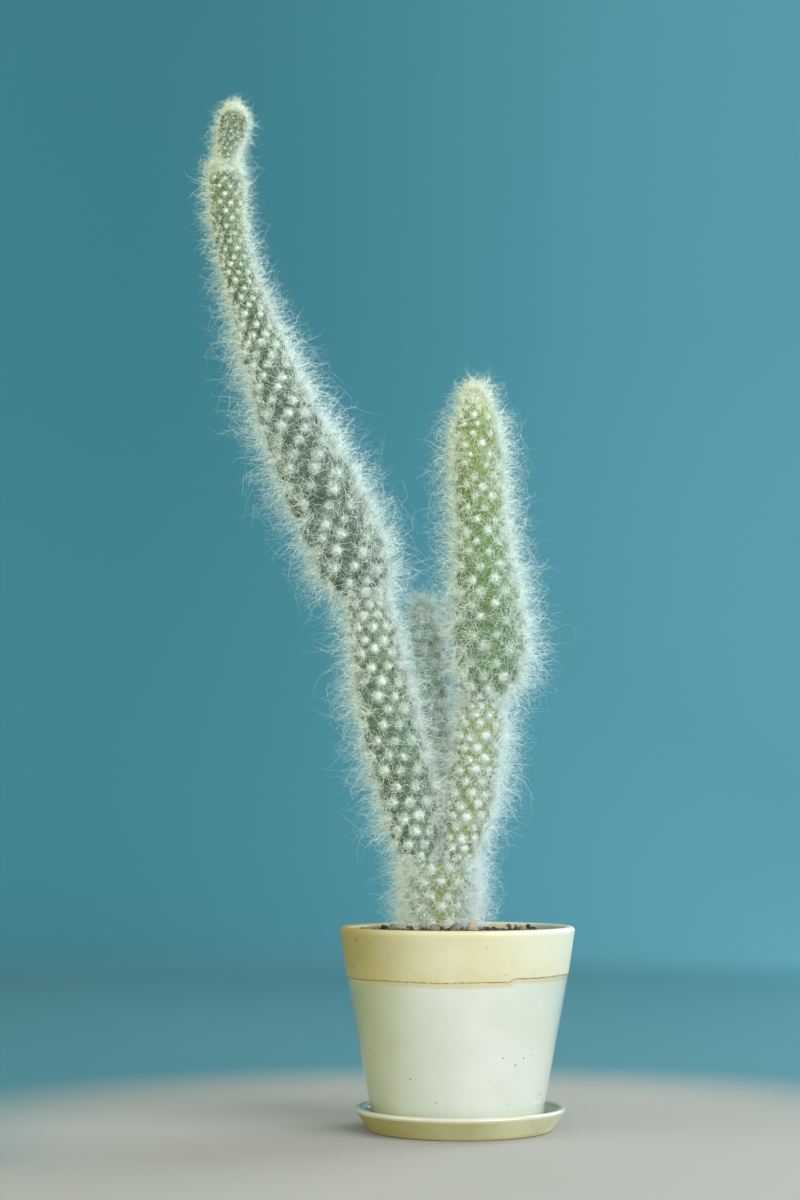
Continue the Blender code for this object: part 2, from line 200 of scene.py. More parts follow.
class Pad(NamedTuple):
    """A stem segment, from its foot to its crown. A dome of 0 leaves the crown flat for a joint.

    A row of areoles is as tall as a share of the distance between two areoles round the pad.
    Hair is the length of its hair, and fullness the number, as shares of the usual ones.
    Its growth is young, with short cream hair, from a height on, and its crown has a cap of
    wool, the cap high. Its colours are those of its skin at the foot, the middle and the crown.
    """

    around: int
    row: float
    colours: tuple
    sections: tuple
    hair: float = 1.0
    fullness: float = 1.0
    dome: float = 0
    young_from: float = ABOVE_ALL
    cap: float = 0


class Hair(NamedTuple):
    """A kind of hair: how many grow on a usual areole, and how they grow.

    It grows on every areole alike, by the size of the areole's cell, or by how young the
    areole is. Roots lie within a share, the spread, of that cell. Tilts are the least and the
    most, in degrees from the skin's normal. A lean of 1 turns hair upwards. Crimp is how far
    each point of a hair strays from its line, as a share of a step.
    """

    by: str
    count: float
    spread: float
    lengths: tuple
    tilts: tuple
    radius: float
    rings: int = 1
    curl: float = 0.0
    turns: float = 1.0
    crimp: float = 0.0
    droop: float = 0.0
    lean: float = 0.0


PADS = {
    "pad_base": Pad(
        around=10,
        row=0.72,
        hair=0.72,
        fullness=2.6,
        colours=((0.20, 0.20, 0.07), (0.17, 0.20, 0.06), (0.14, 0.19, 0.04)),
        sections=(
            Section(FOOT, -0.0084, 0.0, 0.0132, 0.0108),
            Section(0.0949, -0.0084, 0.0, 0.0145, 0.0116),
            Section(0.1066, -0.0082, 0.0, 0.0148, 0.0121),
            Section(0.1170, -0.0083, 0.0, 0.0158, 0.0129),
            Section(CROWN, -0.0080, 0.0, 0.0153, 0.0127),
        ),
    ),
    "pad_left_lower": Pad(
        around=8,
        row=0.8,
        hair=0.9,
        colours=((0.030, 0.062, 0.006), (0.022, 0.066, 0.012), (0.060, 0.090, 0.025)),
        sections=(
            Section(CROWN + GAP, -0.0155, -0.0040, 0.0076, 0.0070),
            Section(0.1325, -0.0192, -0.0042, 0.0102, 0.0082),
            Section(0.1533, -0.0225, -0.0032, 0.0126, 0.0093),
            Section(0.1721, -0.0274, -0.0020, 0.0129, 0.0097),
            Section(0.1910, -0.0319, -0.0008, 0.0127, 0.0095),
            Section(0.2286, -0.0389, 0.0, 0.0108, 0.0083),
            Section(LEFT_JOINT, -0.0418, 0.0, 0.0089, 0.0070),
        ),
    ),
    "pad_left_upper": Pad(
        around=8,
        row=0.7,
        fullness=0.88,
        young_from=0.33,
        cap=0.0045,
        colours=((0.008, 0.034, 0.006), (0.006, 0.036, 0.005), (0.090, 0.140, 0.012)),
        sections=(
            Section(LEFT_JOINT + GAP, -0.0418, 0.0, 0.0087, 0.0068),
            Section(0.2570, -0.0474, 0.0, 0.0151, 0.0084),
            Section(0.2660, -0.0493, 0.0, 0.0170, 0.0090),
            Section(0.2878, -0.0588, 0.0004, 0.0179, 0.0094),
            Section(0.3050, -0.0659, 0.0012, 0.0175, 0.0093),
            Section(0.3392, -0.0812, 0.0030, 0.0133, 0.0086),
            Section(0.3644, -0.0904, 0.0048, 0.0109, 0.0079),
            Section(0.3901, -0.0989, 0.0062, 0.0083, 0.0070),
            Section(0.4096, -0.1050, 0.0072, 0.0073, 0.0065),
            Section(0.4291, -0.1089, 0.0080, 0.0072, 0.0065),
            Section(0.4504, -0.1102, 0.0082, 0.0076, 0.0068),
            Section(LEFT_TIP_JOINT, -0.1100, 0.0082, 0.0047, 0.0045),
        ),
    ),
    "pad_left_tip": Pad(
        around=10,
        row=0.85,
        hair=0.85,
        fullness=0.95,
        dome=0.0095,
        young_from=0.400,
        cap=0.0018,
        colours=((0.050, 0.075, 0.008), (0.036, 0.062, 0.006), (0.070, 0.090, 0.015)),
        sections=(
            Section(LEFT_TIP_JOINT + GAP, -0.1100, 0.0082, 0.0044, 0.0042),
            Section(0.4644, -0.1090, 0.0082, 0.0048, 0.0047),
            Section(0.4741, -0.1069, 0.0082, 0.0067, 0.0062),
            Section(0.4846, -0.1060, 0.0082, 0.0070, 0.0064),
        ),
    ),
    "pad_middle": Pad(
        around=7,
        row=0.95,
        fullness=0.3,
        dome=0.0140,
        cap=0.0100,
        # Its skin is painted far paler than the other pads': painted light that makes up for the shade
        # between the other pads, and for the veil of hair over it.
        colours=((0.15, 0.24, 0.19), (0.15, 0.24, 0.19), (0.30, 0.42, 0.37)),
        sections=(
            Section(CROWN + GAP, -0.0080, 0.0080, 0.0040, 0.0036),
            Section(0.1400, -0.0077, 0.0112, 0.0050, 0.0052),
            Section(0.1726, -0.0082, 0.0172, 0.0060, 0.0074),
            Section(0.2063, -0.0111, 0.0215, 0.0071, 0.0084),
            Section(0.2488, -0.0155, 0.0245, 0.0073, 0.0072),
        ),
    ),
    "pad_right_lower": Pad(
        around=8,
        row=0.72,
        hair=0.85,
        fullness=1.2,
        colours=((0.15, 0.18, 0.03), (0.13, 0.17, 0.04), (0.15, 0.20, 0.05)),
        sections=(
            Section(CROWN + GAP, -0.0003, -0.0040, 0.0067, 0.0068),
            Section(0.1325, 0.0012, -0.0042, 0.0085, 0.0080),
            Section(0.1421, 0.0037, -0.0034, 0.0102, 0.0086),
            Section(0.1749, 0.0092, -0.0012, 0.0102, 0.0091),
            Section(0.1872, 0.0107, 0.0, 0.0105, 0.0088),
            Section(RIGHT_JOINT, 0.0119, 0.0, 0.0074, 0.0068),
        ),
    ),
    "pad_right_upper": Pad(
        around=7,
        row=0.58,
        dome=0.0200,
        young_from=0.235,
        cap=0.0075,
        colours=((0.030, 0.072, 0.004), (0.072, 0.145, 0.003), (0.230, 0.280, 0.030)),
        sections=(
            Section(RIGHT_JOINT + GAP, 0.0119, 0.0, 0.0072, 0.0066),
            Section(0.2103, 0.0147, 0.0, 0.0136, 0.0085),
            Section(0.2282, 0.0154, 0.0, 0.0162, 0.0097),
            Section(0.2422, 0.0145, -0.0008, 0.0153, 0.0097),
            Section(0.2620, 0.0133, -0.0020, 0.0127, 0.0092),
            Section(0.2822, 0.0114, -0.0032, 0.0110, 0.0088),
            Section(0.3183, 0.0095, -0.0048, 0.0103, 0.0084),
            Section(0.3466, 0.0086, -0.0050, 0.0072, 0.0066),
        ),
    ),
}

# Short hair of a tuft, and cream flecks between the tufts of young growth
STAR = Hair("areole", 36, 0.06, (0.0020, 0.0036), (55, 88), 0.000160)
BALL = Hair("areole", 14, 0.14, (0.0020, 0.0042), (0, 65), 0.000120)
FLECK = Hair("young", 12, 0.95, (0.0012, 0.0026), (25, 65), 0.000260, lean=0.8)

# Long hair, from the short down on the skin to the stray hairs that stand out furthest
DOWN = Hair("cell", 30, 0.60, (0.0040, 0.0095), (0, 60), 0.000085)
FUZZ = Hair(
    "cell", 15, 0.60, (0.0065, 0.0140), (0, 60), 0.000072, 3, curl=1.0, turns=4.2, crimp=0.30, droop=0.04
)
CURL = Hair(
    "cell", 10, 0.60, (0.0110, 0.0210), (0, 60), 0.000058, 5, curl=1.0, turns=5.5, crimp=0.45, droop=0.06
)
STRAY = Hair(
    "cell", 3, 0.60, (0.0160, 0.0280), (0, 60), 0.000055, 6, curl=1.0, turns=6.0, crimp=0.35, droop=0.10
)

# Camera, as the picture was taken
CAMERA_PLACE = (-0.0267, -1.1, 0.141)
CAMERA_PITCH = 2.6  # degrees up
CAMERA_LENS = 70.29
CAMERA_SHIFT = 0.1

# Stage
STAGE_RADIUS = 2.6
STAGE_HEIGHT = 2.8
STAGE_BEND = 0.9  # radius of the sweep from the floor to the wall
STAGE_STEPS = 96
STAGE_SINK = 0.00005  # how far the floor lies below the saucer
LIGHT_TARGET = (-0.02, 0, 0.25)
LIGHTS = {  # place, width and colour of each light, whose power is a setting
    "key": ((1.15, -1.15, 0.9), 1.6, (1.0, 0.99, 0.98)),
    "window": ((1.2, 0.9, 0.8), 1.0, (0.90, 0.97, 1.0)),
    "front": ((-0.15, -1.5, 0.45), 1.0, (0.97, 1.0, 1.0)),
    "fill": ((-1.4, -0.7, 0.6), 1.4, (1.0, 0.97, 0.76)),
}
SKY_COLOUR = (0.97, 1.0, 0.82)


class Value:
    """A shader socket that carries a number. Arithmetic on it adds Math nodes."""

    def __init__(self, shader, socket):
        self.shader = shader
        self.socket = socket

    def maths(self, operation, *others, flipped=False):
        """A Math node of this number and others, flipped where the other one stands first."""
        values = [self, *others]
        if flipped:
            values.reverse()
        node = self.shader.node("ShaderNodeMath", {"operation": operation}, dict(enumerate(values)))
        return Value(self.shader, node.outputs[0])

    def __add__(self, other):
        return self.maths("ADD", other)

    __radd__ = __add__

    def __sub__(self, other):
        return self.maths("SUBTRACT", other)

    def __rsub__(self, other):
        return self.maths("SUBTRACT", other, flipped=True)

    def __mul__(self, other):
        return self.maths("MULTIPLY", other)

    __rmul__ = __mul__

    def __truediv__(self, other):
        return self.maths("DIVIDE", other)

    def __rtruediv__(self, other):
        return self.maths("DIVIDE", other, flipped=True)

    def __pow__(self, other):
        return self.maths("POWER", other)

    def __abs__(self):
        return self.maths("ABSOLUTE")

    def most(self, other):
        """The larger of two numbers."""
        return self.maths("MAXIMUM", other)

    def least(self, other):
        """The smaller of two numbers."""
        return self.maths("MINIMUM", other)

    def step(self, start, end):
        """Rises smoothly from 0 at start to 1 at end. It falls where end is the lower one."""
        settings = {"interpolation_type": "SMOOTHSTEP"}
        low, high = min(start, end), max(start, end)
        first, last = (0.0, 1.0) if start < end else (1.0, 0.0)
        inputs = {"Value": self, "From Min": low, "From Max": high, "To Min": first, "To Max": last}
        node = self.shader.node("ShaderNodeMapRange", settings, inputs)
        return Value(self.shader, node.outputs["Result"])


class Shader:
    """A material with one Principled BSDF, and short ways to add nodes to it."""

    def __init__(self, name, **constants):
        self.material = bpy.data.materials.new(name)
        self.material.use_nodes = True
        self.tree = self.material.node_tree
        self.surface = self.tree.nodes["Principled BSDF"]
        for socket, value in constants.items():
            self.surface.inputs[socket.replace("_", " ")].default_value = value

    def node(self, kind, settings=None, inputs=None):
        """Adds a node: first its settings, or a ramp's stops, then its sockets' values or links."""
        node = self.tree.nodes.new(kind)
        for name, value in (settings or {}).items():
            if name == "stops":
                self.set_stops(node.color_ramp, value)
            else:
                setattr(node, name, value)
        for name, value in (inputs or {}).items():
            self.feed(node.inputs[name], value)
        return node

    def set_stops(self, ramp, stops):
        """Gives a ramp its stops, adding those that it lacks."""
        while len(ramp.elements) < len(stops):
            ramp.elements.new(0.5)
        for element, (position, colour) in zip(ramp.elements, stops):
            element.position = position
            element.color = (*colour, 1)

    def feed(self, socket, value):
        """Links a socket to another, or sets a constant on the socket itself."""
        if isinstance(value, Value):
            value = value.socket
        if isinstance(value, bpy.types.NodeSocket):
            self.tree.links.new(value, socket)
        elif socket.type == "RGBA" and len(value) == 3:
            socket.default_value = (*value, 1)
        else:
            socket.default_value = value

    def place(self):
        """The point in the object's own coordinates, as a vector socket."""
        return self.node("ShaderNodeTexCoord").outputs["Object"]

    def axes(self, vector):
        """The three numbers of a vector."""
        split = self.node("ShaderNodeSeparateXYZ", None, {"Vector": vector})
        return [Value(self, socket) for socket in split.outputs]

    def map(self):
        """The two numbers of the piece's own map."""
        vector = self.node("ShaderNodeUVMap", {"uv_map": BAKE_MAP}).outputs["UV"]
        return self.axes(vector)[:2]

    def measure(self, name):
        """A number that a mesh carries at its points."""
        node = self.node("ShaderNodeAttribute", {"attribute_name": name})
        return Value(self, node.outputs["Fac"])

    def noise(self, vector, scale, detail=2.0, roughness=0.5, distortion=0.0):
        """Soft noise between 0 and 1, mostly near 0.5."""
        inputs = {
            "Vector": vector,
            "Scale": scale,
            "Detail": detail,
            "Roughness": roughness,
            "Distortion": distortion,
        }
        return Value(self, self.node("ShaderNodeTexNoise", None, inputs).outputs["Fac"])

    def cells(self, vector, scale, randomness=1.0):
        """Distance to the nearest of scattered points, and a random number for each point."""
        inputs = {"Vector": vector, "Scale": scale, "Randomness": randomness}
        node = self.node("ShaderNodeTexVoronoi", None, inputs)
        red = self.axes(node.outputs["Color"])[0]
        return Value(self, node.outputs["Distance"]), red

    def stretch(self, vector, scale):
        """A vector with its three numbers multiplied."""
        inputs = {"Vector": vector, "Scale": scale}
        return self.node("ShaderNodeMapping", None, inputs).outputs["Vector"]

    def mix(self, share, first, second):
        """A colour between two others."""
        settings = {"data_type": "RGBA", "clamp_factor": True}
        node = self.node("ShaderNodeMix", settings)
        self.feed(node.inputs[0], share)
        self.feed(node.inputs[6], first)
        self.feed(node.inputs[7], second)
        return node.outputs[2]

    def ramp(self, share, stops):
        """A colour from stops, each (position, colour)."""
        node = self.node("ShaderNodeValToRGB", {"stops": stops}, {"Fac": share})
        return node.outputs["Color"]

    def bump(self, height, distance, strength=1.0):
        """Normals of a surface raised by a height."""
        inputs = {"Height": height, "Distance": distance, "Strength": strength}
        return self.node("ShaderNodeBump", None, inputs).outputs["Normal"]

    def finish(self, colour, roughness=None, normal=None, coat=None):
        """Feeds the surface shader and returns the material."""
        wanted = {"Base Color": colour, "Roughness": roughness, "Normal": normal, "Coat Weight": coat}
        for socket, value in wanted.items():
            if value is not None:
                self.feed(self.surface.inputs[socket], value)
        return self.material


def put_mesh(name, points, parts, material):
    """Makes an object from points and from parts, each (corners, places in the map)."""
    mesh = bpy.data.meshes.new(name)
    corners = np.concatenate([part[0].ravel() for part in parts]).astype(np.int32)
    sizes = np.concatenate([np.full(len(part[0]), part[0].shape[1]) for part in parts])
    starts = np.concatenate([[0], np.cumsum(sizes)[:-1]]).astype(np.int32)
    mesh.vertices.add(len(points))
    mesh.vertices.foreach_set("co", np.ascontiguousarray(points, np.float32).ravel())
    mesh.loops.add(len(corners))
    mesh.loops.foreach_set("vertex_index", corners)
    mesh.polygons.add(len(sizes))
    mesh.polygons.foreach_set("loop_start", starts)
    places = np.concatenate([part[1].reshape(-1, 2) for part in parts]).astype(np.float32)
    mesh.uv_layers.new(name=BAKE_MAP)
    mesh.uv_layers[BAKE_MAP].data.foreach_set("uv", places.ravel())
    mesh.update(calc_edges=True)
    mesh.shade_smooth()
    mesh.materials.append(material)
    thing = bpy.data.objects.new(name, mesh)
    bpy.context.scene.collection.objects.link(thing)
    return thing


def settle(thing, slot, *nodes):
    """Says what a finished piece rides on and stands for: hangs it on the root body and hides the parts it
    replaces. Its slot is not used.
    """
    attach(thing, "root")
    if nodes:
        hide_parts(*nodes)
    return thing


def wrap_faces(rings, steps, closed=False):
    """Quads between rings that run round an axis, seen from outside, and their map.

    Quad (i, j) joins ring i to ring i + 1 and step j to step j + 1. Where the profile is
    closed, the last ring joins the first. The map is the grid itself, laid out flat.
    """
    bands = rings if closed else rings - 1
    i, j = np.meshgrid(np.arange(bands), np.arange(steps), indexing="ij")
    up, on = (i + 1) % rings, (j + 1) % steps
    corners = np.stack([i * steps + j, i * steps + on, up * steps + on, up * steps + j], -1)
    across = np.stack([j, j + 1, j + 1, j], -1) / steps
    along = (np.stack([i, i, i + 1, i + 1], -1) + 1) / (bands + 2)
    return corners.reshape(-1, 4), np.stack([across, along], -1).reshape(-1, 4, 2)


def cap_faces(rings, steps):
    """Fans that close a wrapped grid at two poles, which follow its points."""
    j = np.arange(steps)
    on = (j + 1) % steps
    low, high = np.full(steps, rings * steps), np.full(steps, rings * steps + 1)
    last = (rings - 1) * steps
    edge = 1 / (rings + 1)
    middle = (j + 0.5) / steps
    parts = []
    for corners, rim, pole in (
        (np.stack([low, on, j], -1), edge, 0.0),
        (np.stack([high, last + j, last + on], -1), 1 - edge, 1.0),
    ):
        ends = (j + 1, j) if pole == 0 else (j, j + 1)
        across = np.stack([middle, ends[0] / steps, ends[1] / steps], -1)
        along = np.stack([np.full(steps, pole), np.full(steps, rim), np.full(steps, rim)], -1)
        parts.append((corners, np.stack([across, along], -1)))
    return parts


def ball(name, grid, poles, material):
    """A closed surface from rings (rings, steps, 3) and its two poles."""
    rings, steps = grid.shape[:2]
    points = np.concatenate([grid.reshape(-1, 3), poles])
    return put_mesh(name, points, [wrap_faces(rings, steps), *cap_faces(rings, steps)], material)


def arc(radius, height, size, start, end, count=6):
    """Points of an arc about (radius, height), between two angles in degrees from +X."""
    turn = np.radians(np.linspace(start, end, count))
    return np.stack([radius + size * np.cos(turn), height + size * np.sin(turn)], -1)


def line(start, end, count):
    """Points evenly along a straight stretch, without its last one."""
    share = np.linspace(0, 1, count, endpoint=False)[:, None]
    return np.array(start) * (1 - share) + np.array(end) * share


def turned(profile, uneven):
    """A profile of (radius, height) points carried round the Z axis: x = r cos a, y = r sin a.

    The radius swells and shrinks a little, as hand-turned ware does: twice and three times
    round, drifting slowly with the height.
    """
    angle = math.tau * np.arange(TURN_STEPS) / TURN_STEPS
    radius, height = profile[:, :1], profile[:, 1:]
    swell = np.sin(2 * angle + 40 * height) + 0.5 * np.sin(3 * angle - 70 * height)
    radius = radius * (1 + uneven * swell)
    level = height + 0 * angle
    return np.stack([radius * np.cos(angle), radius * np.sin(angle), level], -1)


def pot_radius(height):
    """The pot's outside radius, straight between the measured heights."""
    heights = [point[0] for point in reversed(POT_OUTSIDE)]
    radii = [point[1] for point in reversed(POT_OUTSIDE)]
    return float(np.interp(height, heights, radii))


def make_pot(settings):
    """The pot's closed profile, from the foot up its outside and down its inside, turned."""
    floor = POT_SEAT + POT_FLOOR
    rim_height = POT_TOP - POT_ROUND
    rim_radius = POT_OUTSIDE[0][1]
    foot_radius = POT_OUTSIDE[-1][1] - (POT_OUTSIDE[-1][0] - POT_SEAT)
    outside = [(radius, height) for height, radius in reversed(POT_OUTSIDE[1:])]
    inner_foot = (pot_radius(floor) - POT_WALL, floor)
    inner_rim = rim_radius - POT_WALL
    profile = np.concatenate([
        line((foot_radius, POT_SEAT), outside[0], 3),
        line(outside[0], outside[1], 10),
        line(outside[1], outside[2], 24),
        line(outside[2], (rim_radius, rim_height), 12),
        arc(rim_radius - POT_ROUND, rim_height, POT_ROUND, 0, 90),
        arc(inner_rim + POT_ROUND, rim_height, POT_ROUND, 90, 180),
        line((inner_rim, rim_height - 0.0005), inner_foot, 16),
        line(inner_foot, (DRAIN_RADIUS, floor), 6),
        line((DRAIN_RADIUS, floor), (DRAIN_RADIUS, POT_SEAT), 3),
        line((DRAIN_RADIUS, POT_SEAT), (foot_radius, POT_SEAT), 5),
    ])
    grid = turned(profile, POT_UNEVEN)
    rings = len(profile)
    parts = [wrap_faces(rings, TURN_STEPS, closed=True)]
    thing = put_mesh("pot_glazed", grid.reshape(-1, 3), parts, pot_material(settings))
    thing.data.set_sharp_from_angle(angle=SHARP_ANGLE)
    return settle(thing, "pot_glaze", "pot")


def make_saucer(settings):
    """A shallow dish: underside, flared wall, rounded lip, and the floor inside, turned."""
    inner_lip = SAUCER_LIP_RADIUS - SAUCER_WALL
    lip = SAUCER_HEIGHT - SAUCER_BEAD
    foot = SAUCER_FOOT_RADIUS - SAUCER_ROUND
    profile = np.concatenate([
        line((SAUCER_POLE, 0), (foot, 0), 8),
        arc(foot, SAUCER_ROUND, SAUCER_ROUND, -90, -10, 4),
        line((SAUCER_FOOT_RADIUS + 0.0004, 0.0016), (SAUCER_LIP_RADIUS, lip), 7),
        arc(SAUCER_LIP_RADIUS - SAUCER_BEAD, lip, SAUCER_BEAD, 0, 90),
        arc(inner_lip + SAUCER_BEAD, lip, SAUCER_BEAD, 90, 180),
        line((inner_lip, lip - 0.0003), (foot + 0.0006, SAUCER_FLOOR + 0.0008), 6),
        line((foot, SAUCER_FLOOR), (SAUCER_POLE, SAUCER_FLOOR), 12),
    ])
    grid = turned(profile, SAUCER_UNEVEN)
    poles = np.array([(0, 0, 0), (0, 0, SAUCER_FLOOR)])
    shift = np.array([SAUCER_SHIFT, 0, 0])
    thing = ball("saucer_glazed", grid + shift, poles + shift, saucer_material(settings))
    thing.data.set_sharp_from_angle(angle=SHARP_ANGLE)
    return settle(thing, "saucer_glaze", "saucer")


def section_at(pad, z):
    """A pad's level sections at heights z: columns for x, y, wide and deep.

    Each is a cubic through its stations, whose slope at a station is that between its
    neighbours. Over the last stretch of a domed pad both half-widths are multiplied by
    sqrt(1 - rise**2), where rise goes from 0 to 1.
    """
    stations = np.array(pad.sections)
    heights = stations[:, 0]
    z = np.clip(z, heights[0], heights[-1])
    last = len(heights) - 1
    i = np.clip(np.searchsorted(heights, z, side="right") - 1, 0, last - 1)
    before, after = np.maximum(i - 1, 0), np.minimum(i + 2, last)
    low, high = stations[i, 1:], stations[i + 1, 1:]
    span = (heights[i + 1] - heights[i])[..., None]
    t = (z - heights[i])[..., None] / span
    start = (high - stations[before, 1:]) / (heights[i + 1] - heights[before])[..., None] * span
    end = (stations[after, 1:] - low) / (heights[after] - heights[i])[..., None] * span
    values = (2 * t**3 - 3 * t**2 + 1) * low + (t**3 - 2 * t**2 + t) * start
    values += (3 * t**2 - 2 * t**3) * high + (t**3 - t**2) * end
    if pad.dome:
        rise = np.clip(1 - (heights[-1] - z) / pad.dome, 0, 1)
        values[..., 2:] *= np.sqrt(1 - rise**2)[..., None]
    return values


def row_scale(pad):
    """Heights up a pad, and the number of rows of areoles below each.

    Rows are added up along the outline, each as tall as a fixed share of the distance
    between two areoles round the pad, and the sum is stretched to a whole number.
    """
    foot, crown = pad.sections[0].z, pad.sections[-1].z
    heights = foot + (crown - foot) * (1 - (1 - np.linspace(0, 1, SCALE_STEPS)) ** 2)
    section = section_at(pad, heights)
    radius = np.hypot(section[:, 2], section[:, 3]) / math.sqrt(2)
    length = np.hypot(np.diff(heights), np.diff(radius))
    pitch = np.maximum(ROW_LEAST, pad.row * math.tau * radius[1:] / pad.around)
    rows = np.concatenate([[0], np.cumsum(length / pitch)])
    return heights, rows * (round(rows[-1]) / rows[-1])


def even_angle(turn, wide, deep):
    """An ellipse's own angle at an even share of its girth: the series of rectifying angles."""
    n = (wide - deep) / np.maximum(wide + deep, 1e-6)
    first = (n / 2 - 9 * n**3 / 32) * np.sin(2 * turn)
    return turn + first + 5 * n**2 / 16 * np.sin(4 * turn) + 29 * n**3 / 96 * np.sin(6 * turn)


def pad_point(pad, scale, rows, turn):
    """Points on a pad's smooth skin: an ellipse at each height, by an even share of its girth.

    At a joint both half-widths shrink towards the end by the square of the way to it, so that
    the pad's rim is round.
    """
    z = np.interp(rows, scale[1], scale[0])
    x, y, wide, deep = np.moveaxis(section_at(pad, z), -1, 0)
    foot = np.clip(1 - (z - pad.sections[0].z) / JOINT_ROUND, 0, 1)
    crown = np.clip(1 - (pad.sections[-1].z - z) / JOINT_ROUND, 0, 1) * (not pad.dome)
    close = 1 - JOINT_SHRINK * (foot**2 + crown**2)
    angle = even_angle(turn, wide, deep)
    return np.stack([x + wide * close * np.cos(angle), y + deep * close * np.sin(angle), z], -1)


def unit(vectors):
    """Vectors made one unit long."""
    return vectors / np.maximum(np.linalg.norm(vectors, axis=-1, keepdims=True), 1e-12)


def pad_frame(pad, scale, rows, angle):
    """Directions at points of the skin: outwards, round the pad, and up along it."""
    turn = 0.01
    lift = 0.03
    top = scale[1][-1]
    around = pad_point(pad, scale, rows, angle + turn) - pad_point(pad, scale, rows, angle - turn)
    higher = pad_point(pad, scale, np.minimum(rows + lift, top), angle)
    upwards = higher - pad_point(pad, scale, np.maximum(rows - lift, 0), angle)
    around = unit(around)
    outwards = unit(np.cross(around, upwards))
    return outwards, around, np.cross(outwards, around)


def tubercles(pad, rows, angle):
    """Height of the low mounds that carry the areoles, from 0 to 1.

    The diamond lattice has its points where both a - r / 2 and a + r / 2 are whole, for r
    rows up and a areoles round, so the mound is a raised cosine of each, multiplied.
    """
    row = rows - 0.5
    across = pad.around * angle / math.tau
    rise = (1 + np.cos(math.tau * (across - row / 2))) * (1 + np.cos(math.tau * (across + row / 2)))
    return (rise / 4) ** 0.8


def make_skin(name, settings):
    """A pad's skin: its ellipses, raised along their normals by mounds and slow swells.

    A value at each point tells how near the nearest tuft is, from 1 on it to 0 off it.
    """
    pad = PADS[name]
    scale = row_scale(pad)
    total = scale[1][-1]
    rings = int(total * RINGS_PER_ROW)
    steps = pad.around * STEPS_PER_AREOLE
    last = total - (DOME_GAP if pad.dome else END_GAP)
    rows = np.linspace(END_GAP, last, rings)[:, None] + np.zeros(steps)
    angle = math.tau * np.arange(steps) / steps + np.zeros((rings, 1))
    points = pad_point(pad, scale, rows, angle)
    outwards = pad_frame(pad, scale, rows, angle)[0]
    pitch = np.gradient(points[:, 0, 2])[:, None] * RINGS_PER_ROW
    height = np.minimum(settings.mound_height, MOUND_SHARE * pitch + 0.0001)
    swell = np.sin(3 * angle + 1.7 * rows) * np.sin(0.9 * rows + 2 * angle)
    rise = height * tubercles(pad, rows, angle) + SWELL_HEIGHT * swell - SKIN_SINK
    points = points + outwards * rise[..., None]
    ends = np.array([(end.x, end.y, end.z) for end in (pad.sections[0], pad.sections[-1])])
    thing = ball(f"skin_{name[4:]}", points, ends, skin_material(name, settings))
    areoles = find_areoles(name, settings)
    places = np.concatenate([points.reshape(-1, 3), ends])
    gaps = np.linalg.norm(places[:, None] - areoles.points, axis=2) / areoles.size
    near = thing.data.attributes.new(NEAR_WOOL, "FLOAT", "POINT")
    near.data.foreach_set("value", np.clip(1.8 - gaps.min(1), 0, 1).astype(np.float32))
    return settle(thing, "cactus_skin", name)


def inside_share(pad, points):
    """How far out points lie, as a share of the pad's half-widths: below 1 is inside."""
    x, y, wide, deep = np.moveaxis(section_at(pad, points[..., 2]), -1, 0)
    wide, deep = np.maximum(wide, 0.0008), np.maximum(deep, 0.0008)
    share = np.hypot((points[..., 0] - x) / wide, (points[..., 1] - y) / deep)
    beyond = (points[..., 2] < pad.sections[0].z) | (points[..., 2] > pad.sections[-1].z)
    return np.where(beyond, 9.0, share)


def is_clear(name, points, least=1.0):
    """Whether points lie outside every other pad and above the soil."""
    clear = points[..., 2] > POT_TOP - SOIL_EDGE_DROP
    for other, pad in PADS.items():
        if other != name:
            clear &= inside_share(pad, points) > least
    return clear


def lift_out(pad, points, least):
    """Moves points that would lie in a pad, or less than a length above it, out of its side."""
    x, y, wide, deep = np.moveaxis(section_at(pad, points[..., 2]), -1, 0)
    share = inside_share(pad, points)
    wanted = 1 + least / np.maximum(np.hypot(wide, deep) / math.sqrt(2), 0.001)
    grow = np.where((share < wanted) & (share > 0.05), wanted / np.maximum(share, 0.05), 1.0)
    lifted = points.copy()
    lifted[..., 0] = x + (points[..., 0] - x) * grow
    lifted[..., 1] = y + (points[..., 1] - y) * grow
    return lifted


class Areoles(NamedTuple):
    """A pad's areoles: where each lies, in rows and in turns, and its place and directions.

    Size is its tuft's radius, share is how much long hair it has, young and cap are how young
    it is and how far into the woolly cap, and reach is how long its hair is.
    """

    rows: np.ndarray
    turn: np.ndarray
    points: np.ndarray
    outwards: np.ndarray
    around: np.ndarray
    upwards: np.ndarray
    size: np.ndarray
    share: np.ndarray
    young: np.ndarray
    cap: np.ndarray
    reach: np.ndarray


